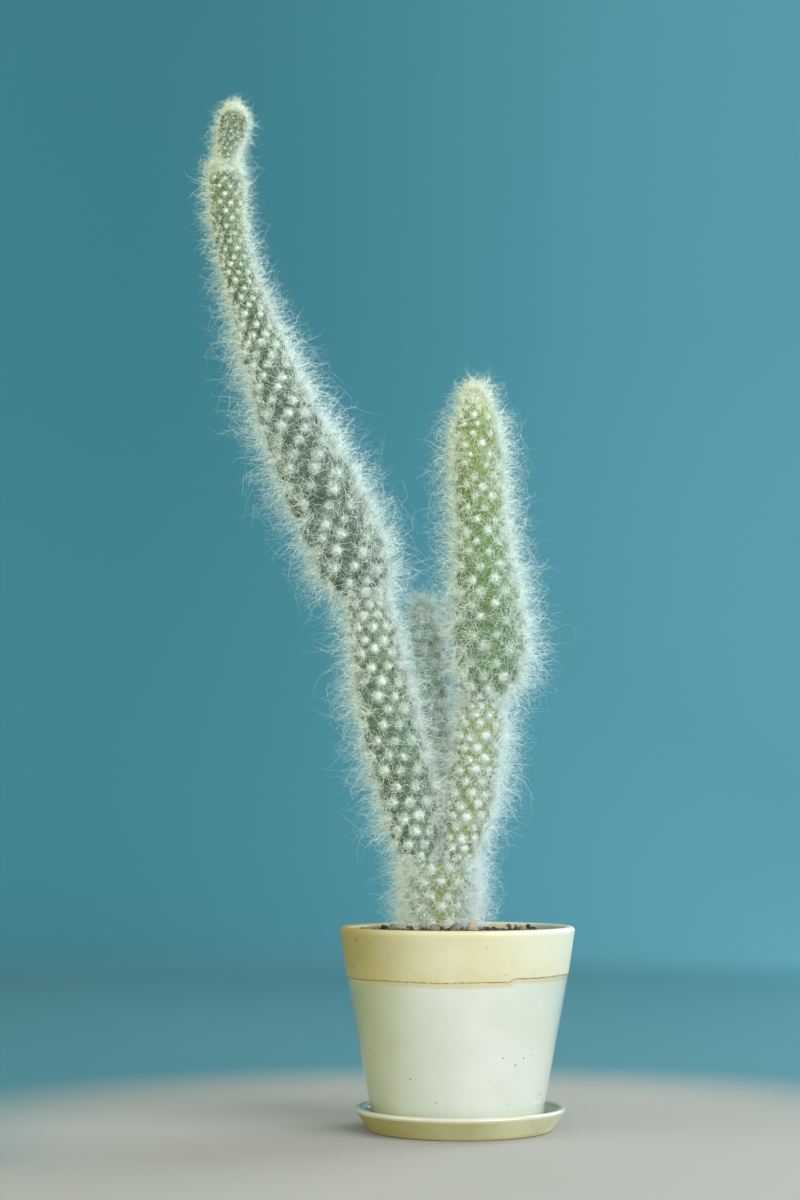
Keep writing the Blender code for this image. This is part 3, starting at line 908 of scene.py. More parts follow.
def find_areoles(name, settings):
    """The points of a pad's diamond lattice, each moved a little at random.

    Row r has its areoles at angles of (s + r / 2) / around turns, and lies half a row up.
    The share of long hair grows with the area of an areole's cell and with the square of the
    cosine of its angle, which is 1 at the two sides.
    """
    pad = PADS[name]
    draw = np.random.default_rng([HAIR_SEED, *name.encode()])
    scale = row_scale(pad)
    total = int(round(scale[1][-1]))
    levels = np.arange(total)
    if name != "pad_base":
        levels = np.concatenate([[FOOT_ROW], levels])
    row, step = np.meshgrid(levels, np.arange(pad.around), indexing="ij")
    row, step = row.ravel(), step.ravel()
    rows = np.clip(row + 0.5 + draw.normal(0, ROW_STRAY, len(row)), 0.06, total - 0.1)
    angle = math.tau * (step + row / 2 + draw.normal(0, STEP_STRAY, len(row))) / pad.around
    points = pad_point(pad, scale, rows, angle)
    outwards, around, upwards = pad_frame(pad, scale, rows, angle)
    heights = points[:, 2]
    section = section_at(pad, heights)
    girth = math.tau * np.hypot(section[:, 2], section[:, 3]) / math.sqrt(2)
    pitch = np.maximum(girth / pad.around, PITCH_LEAST)
    foot = POT_TOP if name == "pad_base" else pad.sections[0].z
    crown = pad.sections[-1].z
    young = np.clip((heights - pad.young_from) / abs(crown - pad.young_from), 0, 1)
    joint = np.clip(1 - (heights - foot) / JOINT_WOOL, 0, 1)
    joint = joint + np.clip(1 - (crown - heights) / JOINT_WOOL, 0, 1) * (not pad.dome)
    cap = np.clip(1.3 - (crown - heights) / pad.cap, 0, 1) if pad.cap else 0 * pitch
    reach = np.clip(np.maximum(pitch, pitch.max() / 2) / USUAL_PITCH, 0.6, 1.0)
    share = np.clip(pitch * pitch * pad.row / USUAL_CELL, 0.30, 1.5) * pad.fullness
    share = share * (FACE_SHARE + SIDE_SHARE * np.cos(angle) ** 2) * (1 + RIGHT_SHARE * np.cos(angle))
    share = share * (1 + YOUNG_SHARE * young) + JOINT_SHARE * joint * reach**3 + CAP_SHARE * cap
    size = np.clip(TUFT_SHARE * (pitch - TUFT_GAP), TUFT_LEAST, settings.tuft_radius)
    size = size * draw.uniform(*TUFT_RANGE, len(row)) * (1 - YOUNG_SHRINKS * young)
    low = POT_TOP - SOIL_EDGE_DROP + CLEAR_OF_SOIL
    kept = is_clear(name, points + outwards * 0.001) & (heights > low)
    values = (rows, angle, points, outwards, around, upwards, size, share, young, cap, reach)
    return Areoles(*(value[kept] for value in values))


def strands(centre, radius, tint):
    """Three-sided tapering strands along centre lines (hairs, rings, 3).

    Each ring is a triangle across the line. Its size falls from the root to a point at the
    last place. The map runs from root to tip in one direction, and the hair's tint is its
    place in the other, so that hairs of one tint share a place.
    """
    hairs, rings = centre.shape[:2]
    body = rings - 1
    along = unit(np.gradient(centre, axis=1))
    guide = unit(np.cross(along[:, :1], np.array([0.31, 0.55, 0.77])))
    side = unit(guide - (guide * along).sum(-1, keepdims=True) * along)[:, :body, None]
    other = np.cross(along[:, :body, None], side)
    turn = math.tau * np.arange(3)[:, None] / 3
    taper = (1 - np.linspace(0, 1, rings) ** 1.5)[:body] * 0.85 + 0.15
    wide = (radius[:, None] * taper)[:, :, None, None]
    rims = centre[:, :body, None] + wide * (side * np.cos(turn) + other * np.sin(turn))
    points = np.concatenate([rims.reshape(hairs, 3 * body, 3), centre[:, -1:]], 1)
    level, k = np.meshgrid(np.arange(body - 1), np.arange(3), indexing="ij")
    level, k = level.ravel(), k.ravel()
    on = (k + 1) % 3
    quads = np.stack([3 * level + k, 3 * level + on, 3 * level + 3 + on, 3 * level + 3 + k], -1)
    side_map = (np.stack([level, level, level + 1, level + 1], -1), np.stack([k, k + 1, k + 1, k], -1))
    k = np.arange(3)
    tips = np.stack([3 * (body - 1) + k, 3 * (body - 1) + (k + 1) % 3, np.full(3, 3 * body)], -1)
    tip_map = (np.array([[body - 1, body - 1, body]] * 3), np.stack([k, k + 1, k + 0.5], -1))
    roots = np.array([[2, 1, 0]])
    root_map = (np.array([[0, 0, 0.3]]), np.array([[0, 1, 0.5]]))
    parts = []
    for corners, (length, width) in ((quads, side_map), (tips, tip_map), (roots, root_map)):
        if len(corners):
            first = (np.arange(hairs) * (3 * body + 1))[:, None, None]
            across = (0.01 + tint * 0.97)[:, None, None] + width * HAIR_STRIP
            reach = np.broadcast_to(length / rings * 0.98 + 0.01, across.shape)
            count = corners.shape[1]
            places = np.stack([reach, across], -1).reshape(-1, count, 2)
            parts.append(((corners + first).reshape(-1, count), places))
    return points.reshape(-1, 3), parts


def grow_hair(name, areoles, hair, settings, draw):
    """Centre lines of one kind of hair on a pad's areoles, with their radii and tints.

    A hair leaves the skin at a tilt from its normal. Along its length t it goes straight on,
    curls as (sin, cos) of an angle that grows with t, is crimped at random, and sinks with
    t**2. What would enter the skin is lifted out of it, and a hair is cut short before
    another pad.
    """
    pad = PADS[name]
    scale = row_scale(pad)
    whole = np.clip(areoles.size / settings.tuft_radius, 0.5, 1.1)
    crowd = {"areole": whole**2, "cell": areoles.share, "young": areoles.young * whole + 2 * areoles.cap}
    many = np.floor(hair.count * crowd[hair.by] + draw.random(len(whole))).astype(int)
    pick = np.repeat(np.arange(len(many)), many)
    count = len(pick)
    rows = areoles.rows[pick] + hair.spread * draw.uniform(-0.5, 0.5, count)
    angle = areoles.turn[pick] + hair.spread * draw.uniform(-0.5, 0.5, count) * math.tau / pad.around
    rows = np.clip(rows, 0.05, scale[1][-1] - 0.05)
    place = pad_point(pad, scale, rows, angle)
    outwards, around, upwards = pad_frame(pad, scale, rows, angle)
    least, most = hair.tilts
    tilt = np.radians(least + (most - least) * draw.random(count) ** 0.8)
    turn = math.tau / 4 + math.tau * (1 - hair.lean) * draw.uniform(-0.5, 0.5, count)
    flat = around * np.cos(turn)[:, None] + upwards * np.sin(turn)[:, None]
    way = outwards * np.cos(tilt)[:, None] + flat * np.sin(tilt)[:, None]
    length = draw.uniform(*hair.lengths, count) * pad.hair * settings.hair_length
    length *= 1 - YOUNG_SHARE * areoles.young[pick]
    if hair.by == "areole":
        length *= whole[pick]
    if hair.by == "cell":
        length *= areoles.reach[pick]
    spot = np.sqrt(draw.random(count)) * areoles.size[pick] * 0.75
    root = place + flat * (spot * np.sin(tilt))[:, None] - outwards * ROOT_DEPTH
    first = unit(np.cross(way, flat + 0.3 * upwards + 1e-4))
    second = np.cross(way, first)
    phase = math.tau * draw.random(count)
    curl = hair.curl * draw.uniform(0.4, 1.3, count)
    turns = hair.turns * draw.uniform(0.6, 1.4, count) * np.where(draw.random(count) < 0.5, -1, 1)
    places = hair.rings + 1
    t = np.linspace(0, 1, places)
    crimp = hair.crimp / hair.rings * draw.normal(size=(count, places, 3))
    crimp[:, 0] = 0

    def path(length):
        """Centre lines of the hairs at these lengths."""
        angle = turns[:, None] * t + phase[:, None]
        swing = (np.sin(angle) - np.sin(phase)[:, None])[..., None] * first[:, None]
        swing = swing + (np.cos(angle) - np.cos(phase)[:, None])[..., None] * second[:, None]
        swing = swing * (curl / np.abs(turns))[:, None, None]
        line = way[:, None] * t[:, None] + swing + crimp
        line[..., 2] -= hair.droop * t**2
        points = root[:, None] + line * length[:, None, None]
        points[:, 1:] = lift_out(pad, points[:, 1:], SKIN_CLEAR)
        return points

    clear = is_clear(name, path(length), 1.03)
    clear[:, 0] = True
    free = np.cumprod(clear, axis=1).sum(1) / places
    length = np.where(free < 1, length * np.maximum(free - 0.5 / places, 0), length)
    kept = length > HAIR_LEAST
    centre = path(length)[kept]
    radius = hair.radius * settings.hair_thickness * draw.uniform(0.75, 1.25, count)[kept]
    young = areoles.young[pick][kept] * (0.4 if hair.by == "cell" else 1)
    return centre, radius, tint_with_side_light(outwards[kept], young, draw)


def tint_with_side_light(outwards, young, draw):
    """A hair's tint from 0, cream, to 1, cool white: warmer on young growth, and, as painted light, warmer
    where it faces left and cooler where it faces right.
    """
    # Painted light: hair that faces left is painted warmer and hair that faces right cooler, as the colour
    # of the light from each side.
    side = 0.55 + 0.23 * outwards[:, 0]
    return np.clip(side + draw.normal(0, 0.12, len(outwards)) - 0.9 * young, 0, 1)


def tuft_domes(areoles, draw):
    """Woolly domes, one on each areole: rings of an ellipsoid, roughened at random.

    A dome has a ring below the skin and one above it, and a pole at each end. Short hair
    hides most of it.
    """
    count, rings = len(areoles.points), len(DOME_LATITUDES)
    latitude = np.radians(DOME_LATITUDES)[:, None]
    turn = math.tau * np.arange(DOME_COLUMNS)[:, None] / DOME_COLUMNS
    size = DOME_WIDTH * areoles.size[:, None, None]
    rough = draw.uniform(*DOME_ROUGH, (count, rings, DOME_COLUMNS))
    wide = size * np.cos(latitude) * rough
    tall = size * DOME_HEIGHT * np.sin(latitude) * rough
    around, upwards, outwards = (
        way[:, None, None] for way in (areoles.around, areoles.upwards, areoles.outwards)
    )
    spokes = around * np.cos(turn) + upwards * np.sin(turn)
    grid = areoles.points[:, None, None] + wide[..., None] * spokes + tall[..., None] * outwards
    raised = areoles.size[:, None, None] * np.array(DOME_POLES)[:, None]
    poles = areoles.points[:, None] + areoles.outwards[:, None] * raised
    points = np.concatenate([grid.reshape(count, -1, 3), poles], 1)
    tint = 0.01 + tint_with_side_light(areoles.outwards, areoles.young, draw) * 0.93
    first = (np.arange(count) * points.shape[1])[:, None, None]
    parts = []
    for corners, places in (wrap_faces(rings, DOME_COLUMNS), *cap_faces(rings, DOME_COLUMNS)):
        across = np.broadcast_to(places[..., 0] * 0.3, (count, *corners.shape))
        up = places[..., 1] * 0.04 + tint[:, None, None]
        width = corners.shape[1]
        spot = np.stack([across, up], -1).reshape(-1, width, 2)
        parts.append(((corners + first).reshape(-1, width), spot))
    return points.reshape(-1, 3), parts


def join(shapes):
    """One list of points and parts from several."""
    points, parts, start = [], [], 0
    for shape_points, shape_parts in shapes:
        points.append(shape_points)
        parts += [(corners + start, places) for corners, places in shape_parts]
        start += len(shape_points)
    return np.concatenate(points), parts


def make_wool(name, settings):
    """The areoles' woolly domes with their stars and brushes of short hair."""
    areoles = find_areoles(name, settings)
    draw = np.random.default_rng([HAIR_SEED + 1, *name.encode()])
    shapes = [tuft_domes(areoles, draw)]
    for hair in (STAR, BALL, FLECK):
        shapes.append(strands(*grow_hair(name, areoles, hair, settings, draw)))
    thing = put_mesh(f"wool_{name[4:]}", *join(shapes), bpy.data.materials["wool"])
    return settle(thing, "cactus_wool")


def make_hair(name, settings):
    """The curly fuzz and the long stray hairs that stand out round a pad."""
    areoles = find_areoles(name, settings)
    draw = np.random.default_rng([HAIR_SEED + 2, *name.encode()])
    shapes = [
        strands(*grow_hair(name, areoles, hair, settings, draw)) for hair in (DOWN, FUZZ, CURL, STRAY)
    ]
    thing = put_mesh(f"hair_{name[4:]}", *join(shapes), bpy.data.materials["hair"])
    return settle(thing, "cactus_wool")


def soil_grid():
    """Rings of the soil's solid: its underside, its wall, its lumpy top and the stem's hole.

    Over the top a point passes from the round wall to the stem's oval in a straight line,
    and lumps are sums of sines of its place.
    """
    floor = POT_SEAT + POT_FLOOR + GAP
    edge = POT_TOP - SOIL_EDGE_DROP
    mound = POT_TOP - SOIL_MOUND_DROP
    base = PADS["pad_base"]
    stem = section_at(base, np.array([edge, FOOT]))
    angle = math.tau * np.arange(SOIL_STEPS) / SOIL_STEPS
    circle = np.stack([np.cos(angle), np.sin(angle)], -1)
    low = (pot_radius(floor) - POT_WALL - GAP * 2) * circle
    high = (pot_radius(edge) - POT_WALL - GAP * 2) * circle
    oval = stem[0, :2] + (stem[0, 2:] + GAP) * circle
    share = np.linspace(0, 1, SOIL_RINGS)[:, None, None]
    top = high * (1 - share) + oval * share
    height = edge + (mound - edge) * share[..., 0] + soil_lumps(top[..., 0], top[..., 1])
    height[0] = edge - 0.0006
    height[-1] = mound - 0.0012
    hole = stem[1, :2] + (stem[1, 2:] + GAP * 2) * circle
    rings = [
        np.concatenate([low, np.full((SOIL_STEPS, 1), floor)], -1)[None],
        np.concatenate([top, height[..., None]], -1),
        np.concatenate([hole, np.full((SOIL_STEPS, 1), FOOT - GAP)], -1)[None],
    ]
    poles = np.array([(0, 0, floor), (*stem[1, :2], FOOT - GAP)])
    return np.concatenate(rings), poles


def soil_lumps(x, y):
    """Height of the soil's lumps over its slope, in metres."""
    draw = np.random.default_rng(SOIL_SEED)
    height = np.zeros_like(x)
    for size, rise in SOIL_LUMPS:
        for _ in range(WAVES_PER_LUMP):
            turn, phase = draw.uniform(0, math.tau, 2)
            height += rise * np.sin((x * math.cos(turn) + y * math.sin(turn)) * math.tau / size + phase)
    return height - SOIL_SINK


def make_soil():
    """The soil's bed, with its lumpy top and the hole that the stem stands in."""
    grid, poles = soil_grid()
    thing = ball("soil_bed", grid, poles, soil_material())
    return settle(thing, "soil", "soil")


def pebble():
    """An octahedron with its edges halved: 18 points on a ball and 32 triangles."""
    points = [(1, 0, 0), (-1, 0, 0), (0, 1, 0), (0, -1, 0), (0, 0, 1), (0, 0, -1)]
    faces, middles = [], {}

    def middle(a, b):
        """The number of the point over the middle of an edge, made where it is new."""
        key = (min(a, b), max(a, b))
        if key not in middles:
            middles[key] = len(points)
            points.append(tuple(unit(np.array(points[a], float) + np.array(points[b], float))))
        return middles[key]

    for x in (0, 1):
        for y in (2, 3):
            for z in (4, 5):
                a, b, c = (x, y, z) if (x + y + z) % 2 == 0 else (x, z, y)
                ab, bc, ca = middle(a, b), middle(b, c), middle(c, a)
                faces += [(a, ab, ca), (b, bc, ab), (c, ca, bc), (ab, bc, ca)]
    return np.array(points, float), np.array(faces)


def scatter_stones(name, count, seed, least, most, material):
    """Stones lying on the soil, each a pebble stretched, roughened and turned at random."""
    draw = np.random.default_rng(seed)
    shape, faces = pebble()
    edge = POT_TOP - SOIL_EDGE_DROP
    outer = pot_radius(edge) - POT_WALL - GAP * 2
    stem = section_at(PADS["pad_base"], np.array([edge]))[0]
    angle = math.tau * draw.random(count)
    share = draw.random(count) ** 0.8
    size = least + (most - least) * draw.random(count) ** 2.2
    rim = np.stack([np.cos(angle), np.sin(angle)], -1)
    start = stem[:2] + (stem[2:] + STONE_CLEAR + size[:, None]) * rim
    end = (outer - STONE_CLEAR - size)[:, None] * rim
    flat = start * (1 - share)[:, None] + end * share[:, None]
    slope = edge + (SOIL_EDGE_DROP - SOIL_MOUND_DROP) * (1 - share)
    height = slope + soil_lumps(flat[:, 0], flat[:, 1]) + size * 0.25
    centre = np.concatenate([flat, height[:, None]], -1)
    stretch = draw.uniform(0.65, 1.25, (count, 1, 3))
    rough = draw.uniform(0.84, 1.16, (count, len(shape), 1))
    local = shape[None] * stretch * rough * size[:, None, None]
    axis = unit(draw.normal(size=(count, 3)))
    second = unit(np.cross(axis, draw.normal(size=(count, 3))))
    basis = np.stack([axis, second, np.cross(axis, second)], 1)
    points = np.einsum("nij,njk->nik", local, basis) + centre[:, None]
    corners = faces[None] + (np.arange(count) * len(shape))[:, None, None]
    tone = draw.random(count)
    places = np.empty((count, len(faces), 3, 2))
    places[..., 0] = (tone * 0.96 + 0.01)[:, None, None] + np.array([0, 0.01, 0.02])
    places[..., 1] = (np.arange(len(faces)) / len(faces))[None, :, None] + np.array([0, 0.02, 0])
    parts = [(corners.reshape(-1, 3), places.reshape(-1, 3, 2))]
    thing = put_mesh(name, points.reshape(-1, 3), parts, material)
    return settle(thing, "soil")


def make_bark():
    """A curled chip of bark: a flattened superellipsoid, arched along its length."""
    latitude = np.radians(np.linspace(-75, 75, BARK_RINGS))[:, None]
    angle = math.tau * np.arange(BARK_STEPS) / BARK_STEPS
    long, wide, thick = BARK_SIZE

    def power(values):
        """Values squared off, each with its sign kept."""
        return np.sign(values) * np.abs(values) ** BARK_SQUARE

    x = long * power(np.cos(latitude)) * power(np.cos(angle))
    y = wide * power(np.cos(latitude)) * power(np.sin(angle))
    ridge = BARK_RIDGE * np.sin(y / wide * 9 + x / long * 2)
    z = thick * (power(np.sin(latitude)) + BARK_ARCH * (1 - (x / long) ** 2) + ridge)
    across = x * math.cos(BARK_TURN) - y * math.sin(BARK_TURN)
    depth = x * math.sin(BARK_TURN) + y * math.cos(BARK_TURN)
    grid = np.stack([across, depth, z], -1) + np.array(BARK_PLACE)
    poles = np.array(BARK_PLACE) + thick * np.array([(0, 0, BARK_ARCH - 1), (0, 0, BARK_ARCH + 1)])
    thing = ball("bark_chip", grid, poles, bark_material())
    return settle(thing, "soil")


def skin_material(name, settings):
    """Waxy green skin: slow patches, lighter mounds, and the finest hair lying on it."""
    pad = PADS[name]
    shader = Shader(f"skin_{name[4:]}", Roughness=0.55)
    place = shader.place()
    height = shader.axes(place)[2]
    foot, crown = pad.sections[0].z, pad.sections[-1].z
    rise = (height - foot) / (crown - foot)
    foot_colour, middle_colour, crown_colour = pad.colours
    base = shader.ramp(rise, [(0.0, foot_colour), (0.5, middle_colour), (1.0, crown_colour)])
    patches = shader.noise(place, 90, 3, 0.6).step(0.42, 0.62)
    olive = tuple(c * f for c, f in zip(foot_colour, (1.25, 1.1, 0.7)))
    colour = shader.mix(patches * 0.55, base, olive)
    mottle = shader.noise(place, 900, 3, 0.6)
    dark = tuple(c * 0.45 for c in middle_colour)
    colour = shader.mix(mottle.step(0.62, 0.40) * 0.6, colour, dark)
    gauze = 0
    for scale, width in ((420, 0.040), (650, 0.055), (900, 0.070)):
        field = shader.noise(place, scale, 1.0, 0.5, 0.8)
        gauze = abs(field - 0.5).step(width, width * 0.35) + gauze
    clumps = shader.noise(place, 620, 2, 0.6).step(0.42, 0.62)
    cover = shader.noise(place, 130, 2, 0.6).step(0.34, 0.60)
    veil = (gauze * (clumps * 0.7 + 0.3) * (cover * 0.7 + 0.3)).least(1.0)
    tinted = shader.mix(0.6, base, settings.gauze_colour[:])
    colour = shader.mix(veil * settings.gauze, colour, tinted)
    soft = (shader.measure(NEAR_WOOL) + (mottle - 0.5) * 1.1).step(0.1, 0.9)
    colour = shader.mix(soft * 0.48, colour, tuple(part * 0.7 for part in settings.wool_colour))
    if pad.cap:
        wool = (height + (mottle - 0.5) * pad.cap * 2).step(crown - pad.cap * 1.5, crown - pad.cap * 0.2)
        colour = shader.mix(wool * 0.8, colour, settings.wool_colour[:])
    normal = shader.bump(mottle * 0.4 + veil * 0.8, 0.0002, 0.6)
    return shader.finish(colour, veil * 0.3 + 0.45, normal)


def tinted_wool(shader, tint, middle, settings):
    """The colour of a hair's tint: cream at 0, white at a middle place and cool white at 1."""
    colours = (settings.cream_colour, settings.wool_colour, settings.cool_colour)
    return shader.ramp(tint, [(place, colour[:]) for place, colour in zip((0.0, middle, 1.0), colours)])


def wool_material(settings):
    """Woolly tufts: cream at the root, white above, dull, with painted shade on the lower part of each
    hair.
    """
    shader = Shader("wool", Roughness=0.9, Sheen_Weight=0.15, Sheen_Roughness=0.5)
    along, tint = shader.map()
    felt = shader.noise(shader.place(), 1600, 2, 0.6)
    colour = tinted_wool(shader, tint, 0.6, settings)
    colour = shader.mix(along.step(0.25, 0.0) * 0.35, colour, settings.cream_colour[:])
    dull = tuple(part * 0.62 for part in settings.wool_colour)
    # The domes and the lower quarter of each hair are mixed towards the duller colour: the domes' own
    # duller wool, and painted shade at the hairs' roots.
    colour = shader.mix(felt.step(0.70, 0.30) * 0.5 + along.step(0.30, 0.26) * 0.6 + 0.1, colour, dull)
    return shader.finish(colour, normal=shader.bump(felt, 0.0004, 0.6))


def hair_material(settings):
    """Fine white hair, a little warmer at its root."""
    shader = Shader("hair", Roughness=0.6, Sheen_Weight=0.2, Sheen_Roughness=0.5)
    along, tint = shader.map()
    colour = tinted_wool(shader, tint, 0.5, settings)
    colour = shader.mix(along.step(0.4, 0.0) * 0.25, colour, settings.cream_colour[:])
    return shader.finish(colour)


def tide_height(shader, place, settings):
    """Height of the tide line round the pot: slow waves, a fine ragged edge and one step."""
    x = shader.axes(place)[0]
    flat = shader.stretch(place, (1, 1, 0))
    waves = (shader.noise(flat, 22, 1) - 0.5) * 0.0020
    ragged = (shader.noise(flat, 420, 2, 0.7) - 0.5) * 0.0007
    return waves + ragged + x.step(0.0215, 0.0255) * 0.0014 + settings.tide_height


def speckle(shader, place, scale, size, share):
    """Round specks: 1 in those of the scattered points that the share keeps."""
    distance, chance = shader.cells(place, scale)
    return distance.step(size, size * 0.6) * chance.step(1 - share, 1 - share + 0.001)


def marks_on(shader, place, marks):
    """Small marks on the front: soft ovals at (x, z), each with its half-sizes and its lean."""
    x, y, z = shader.axes(place)
    total = 0
    for across, up, long, thin, lean, strength in marks:
        turn = math.radians(lean)
        u = (x - across) * (math.cos(turn) / long) + (z - up) * (math.sin(turn) / long)
        v = (z - up) * (math.cos(turn) / thin) - (x - across) * (math.sin(turn) / thin)
        spot = (u * u + v * v).step(1.0, 0.4) * strength
        total = spot if total == 0 else total.most(spot)
    return total * y.step(0.001, -0.001)


def pot_material(settings):
    """Glaze: satin cream above the tide line, glossy celadon white below, brown between. It is painted
    darker and yellower to the left, as painted shade and a painted yellow-green reflection, and paler to
    the right, as painted light.
    """
    shader = Shader("pot_glaze", IOR=1.5, Coat_Roughness=0.06)
    place = shader.place()
    x, y, height = shader.axes(place)
    above = height - tide_height(shader, place, settings)
    upper = above.step(-0.0001, 0.0001)
    clouds = shader.noise(place, 28, 3, 0.6)
    # Painted light: left and right mask where the glaze is painted darker and yellower, as painted shade
    # and reflection, and paler, as painted light.
    left = x.step(-0.012, -0.052)
    right = x.step(0.005, 0.050)
    cream = shader.mix(clouds.step(0.35, 0.7), settings.band_colour[:], settings.band_worn_colour[:])
    cream = shader.mix(left * 0.8, cream, settings.band_left_colour[:])
    cream = shader.mix(right * 0.8, cream, settings.band_right_colour[:])
    mint = shader.mix(clouds.step(0.35, 0.7), settings.glaze_colour[:], settings.glaze_pale_colour[:])
    mint = shader.mix(left * 0.7, mint, settings.glaze_left_colour[:])
    wander = (shader.noise(shader.stretch(place, (1, 1, 0.2)), 60, 2) - 0.5) * 0.0016
    stain = (above + wander - left * 0.0005).step(-0.0029, -0.0019) * (1 - upper) * 0.55
    # On the left the stain colour also reaches further below the tide line, as part of the painted shade
    # and reflection there.
    stain = stain + above.step(-0.012, 0.0) * (1 - upper) * left * 0.35
    mint = shader.mix(stain, mint, settings.stain_colour[:])
    colour = shader.mix(upper, mint, cream)
    smudge = shader.noise(place, 70, 3, 0.6).step(0.42, 0.70) * (0.45 - right * 0.4)
    glow = above.step(0.012, 0.0) * upper * (smudge + 0.18)
    colour = shader.mix(glow, colour, settings.stain_colour[:])
    breaks = shader.noise(place, 900, 2, 0.7).step(0.42, 0.55) * 0.55 + 0.4
    edge = abs(above).step(0.00048, 0.00014) * breaks
    colour = shader.mix(edge, colour, settings.tide_colour[:])
    holes = speckle(shader, place, 120, 0.040, 0.35) * y.step(0.0, 0.004)
    dots = speckle(shader, place, 330, 0.055, 0.10)
    scratches = shader.noise(shader.stretch(place, (1, 1, 0.35)), 520, 2, 0.8).step(0.70, 0.76) * upper
    marks = holes.most(dots * 0.35).most(scratches * 0.35).most(marks_on(shader, place, POT_MARKS))
    colour = shader.mix(marks, colour, (0.035, 0.028, 0.018))
    rough = upper * 0.26 + 0.14 + clouds * 0.06 + edge * 0.2
    uneven = shader.noise(place, 55, 2) * 0.5 + shader.noise(place, 700, 2) * 0.03 * upper
    normal = shader.bump(uneven - marks * 0.4 - upper * 0.05, 0.0006, 0.35)
    coat = (1 - upper) * 0.8 + 0.05
    return shader.finish(colour, rough, normal, coat)


def saucer_material(settings):
    """Glaze: bare khaki clay wall outside, painted darker to the left as painted shade and paler to the
    right as painted light, glossy white inside and over the lip, with dirt.
    """
    shader = Shader("saucer_glaze", IOR=1.5, Coat_Roughness=0.08)
    place = shader.place()
    x, y, height = shader.axes(place)
    radius = ((x - SAUCER_SHIFT) * (x - SAUCER_SHIFT) + y * y) ** 0.5
    slope = (SAUCER_LIP_RADIUS - SAUCER_FOOT_RADIUS) / SAUCER_HEIGHT
    depth = SAUCER_LIP_RADIUS - (SAUCER_HEIGHT - height) * slope - radius
    waver = (shader.noise(place, 120, 2) - 0.5) * 0.0009
    lip = (depth + waver).step(0.0007, 0.0016).most((height + waver).step(0.0085, 0.0089))
    clouds = shader.noise(place, 40, 3, 0.6)
    turning = shader.noise(shader.stretch(place, (0.15, 0.15, 1)), 900, 2, 0.6)
    # Painted light: the wall is painted darker towards the left, as painted shade, and paler towards the
    # right, as painted light.
    clay = shader.mix(x.step(-0.044, 0.004), settings.saucer_left_colour[:], settings.saucer_colour[:])
    clay = shader.mix(x.step(0.000, 0.044), clay, settings.saucer_pale_colour[:])
    dull = tuple(part * 0.72 for part in settings.saucer_left_colour)
    clay = shader.mix(clouds.step(0.45, 0.75) * 0.35 + turning.step(0.5, 0.8) * 0.25, clay, dull)
    clay = shader.mix(height.step(0.0022, 0.0004) * 0.5, clay, dull)
    colour = shader.mix(lip, clay, settings.saucer_lip_colour[:])
    seam = abs(depth + waver - 0.0009).step(0.0004, 0.0001) * height.step(0.0095, 0.0085)
    colour = shader.mix(seam * height.step(0.0080, 0.0086) * 0.4, colour, settings.stain_colour[:])
    grime = shader.noise(place, 240, 3, 0.7).step(0.45, 0.62) * height.step(0.0085, 0.0045) * lip
    left = x.step(-0.026, -0.040)
    colour = shader.mix(grime * (left * 0.8 + 0.15), colour, (0.10, 0.07, 0.03))
    specks = speckle(shader, place, 260, 0.06, 0.12)
    colour = shader.mix(specks * 0.6, colour, (0.05, 0.04, 0.025))
    rough = 0.46 - lip * 0.30 + clouds * 0.08
    normal = shader.bump(shader.noise(place, 90, 3) * 0.6 + turning * 0.15 - specks * 0.4, 0.0005, 0.35)
    return shader.finish(colour, rough, normal, lip * 0.35)


def soil_material():
    """Damp dark earth with crumbs."""
    shader = Shader("soil_bed", Roughness=0.95)
    place = shader.place()
    crumbs = shader.noise(place, 700, 4, 0.7)
    colour = shader.ramp(crumbs, [(0.3, (0.012, 0.009, 0.007)), (0.7, (0.060, 0.042, 0.030))])
    distance, chance = shader.cells(place, 450)
    colour = shader.mix(chance.step(0.8, 0.95) * distance.step(0.5, 0.2), colour, (0.16, 0.13, 0.10))
    return shader.finish(colour, normal=shader.bump(crumbs - distance * 0.5, 0.0010, 0.9))


def grit_material():
    """Grit of mixed stones: black-brown, grey and a few tan, each with a fine grain."""
    shader = Shader("grit", Roughness=0.85)
    tone = shader.map()[0]
    place = shader.place()
    grain = shader.noise(place, 1500, 3, 0.6)
    stops = [
        (0.0, (0.020, 0.014, 0.011)),
        (0.45, (0.050, 0.034, 0.026)),
        (0.70, (0.085, 0.075, 0.066)),
        (0.88, (0.160, 0.145, 0.125)),
        (1.0, (0.240, 0.150, 0.080)),
    ]
    colour = shader.mix(grain.step(0.35, 0.7) * 0.45, shader.ramp(tone, stops), (0.012, 0.010, 0.008))
    return shader.finish(colour, normal=shader.bump(grain, 0.0004, 0.7))


def bark_material():
    """Tan bark with darker lengthwise grain."""
    shader = Shader("bark", Roughness=0.8)
    place = shader.place()
    grain = shader.noise(shader.stretch(place, (0.4, 2.0, 2.0)), 900, 3, 0.6)
    colour = shader.ramp(grain, [(0.3, (0.17, 0.12, 0.08)), (0.7, (0.50, 0.41, 0.30))])
    return shader.finish(colour, normal=shader.bump(grain, 0.0003, 0.8))


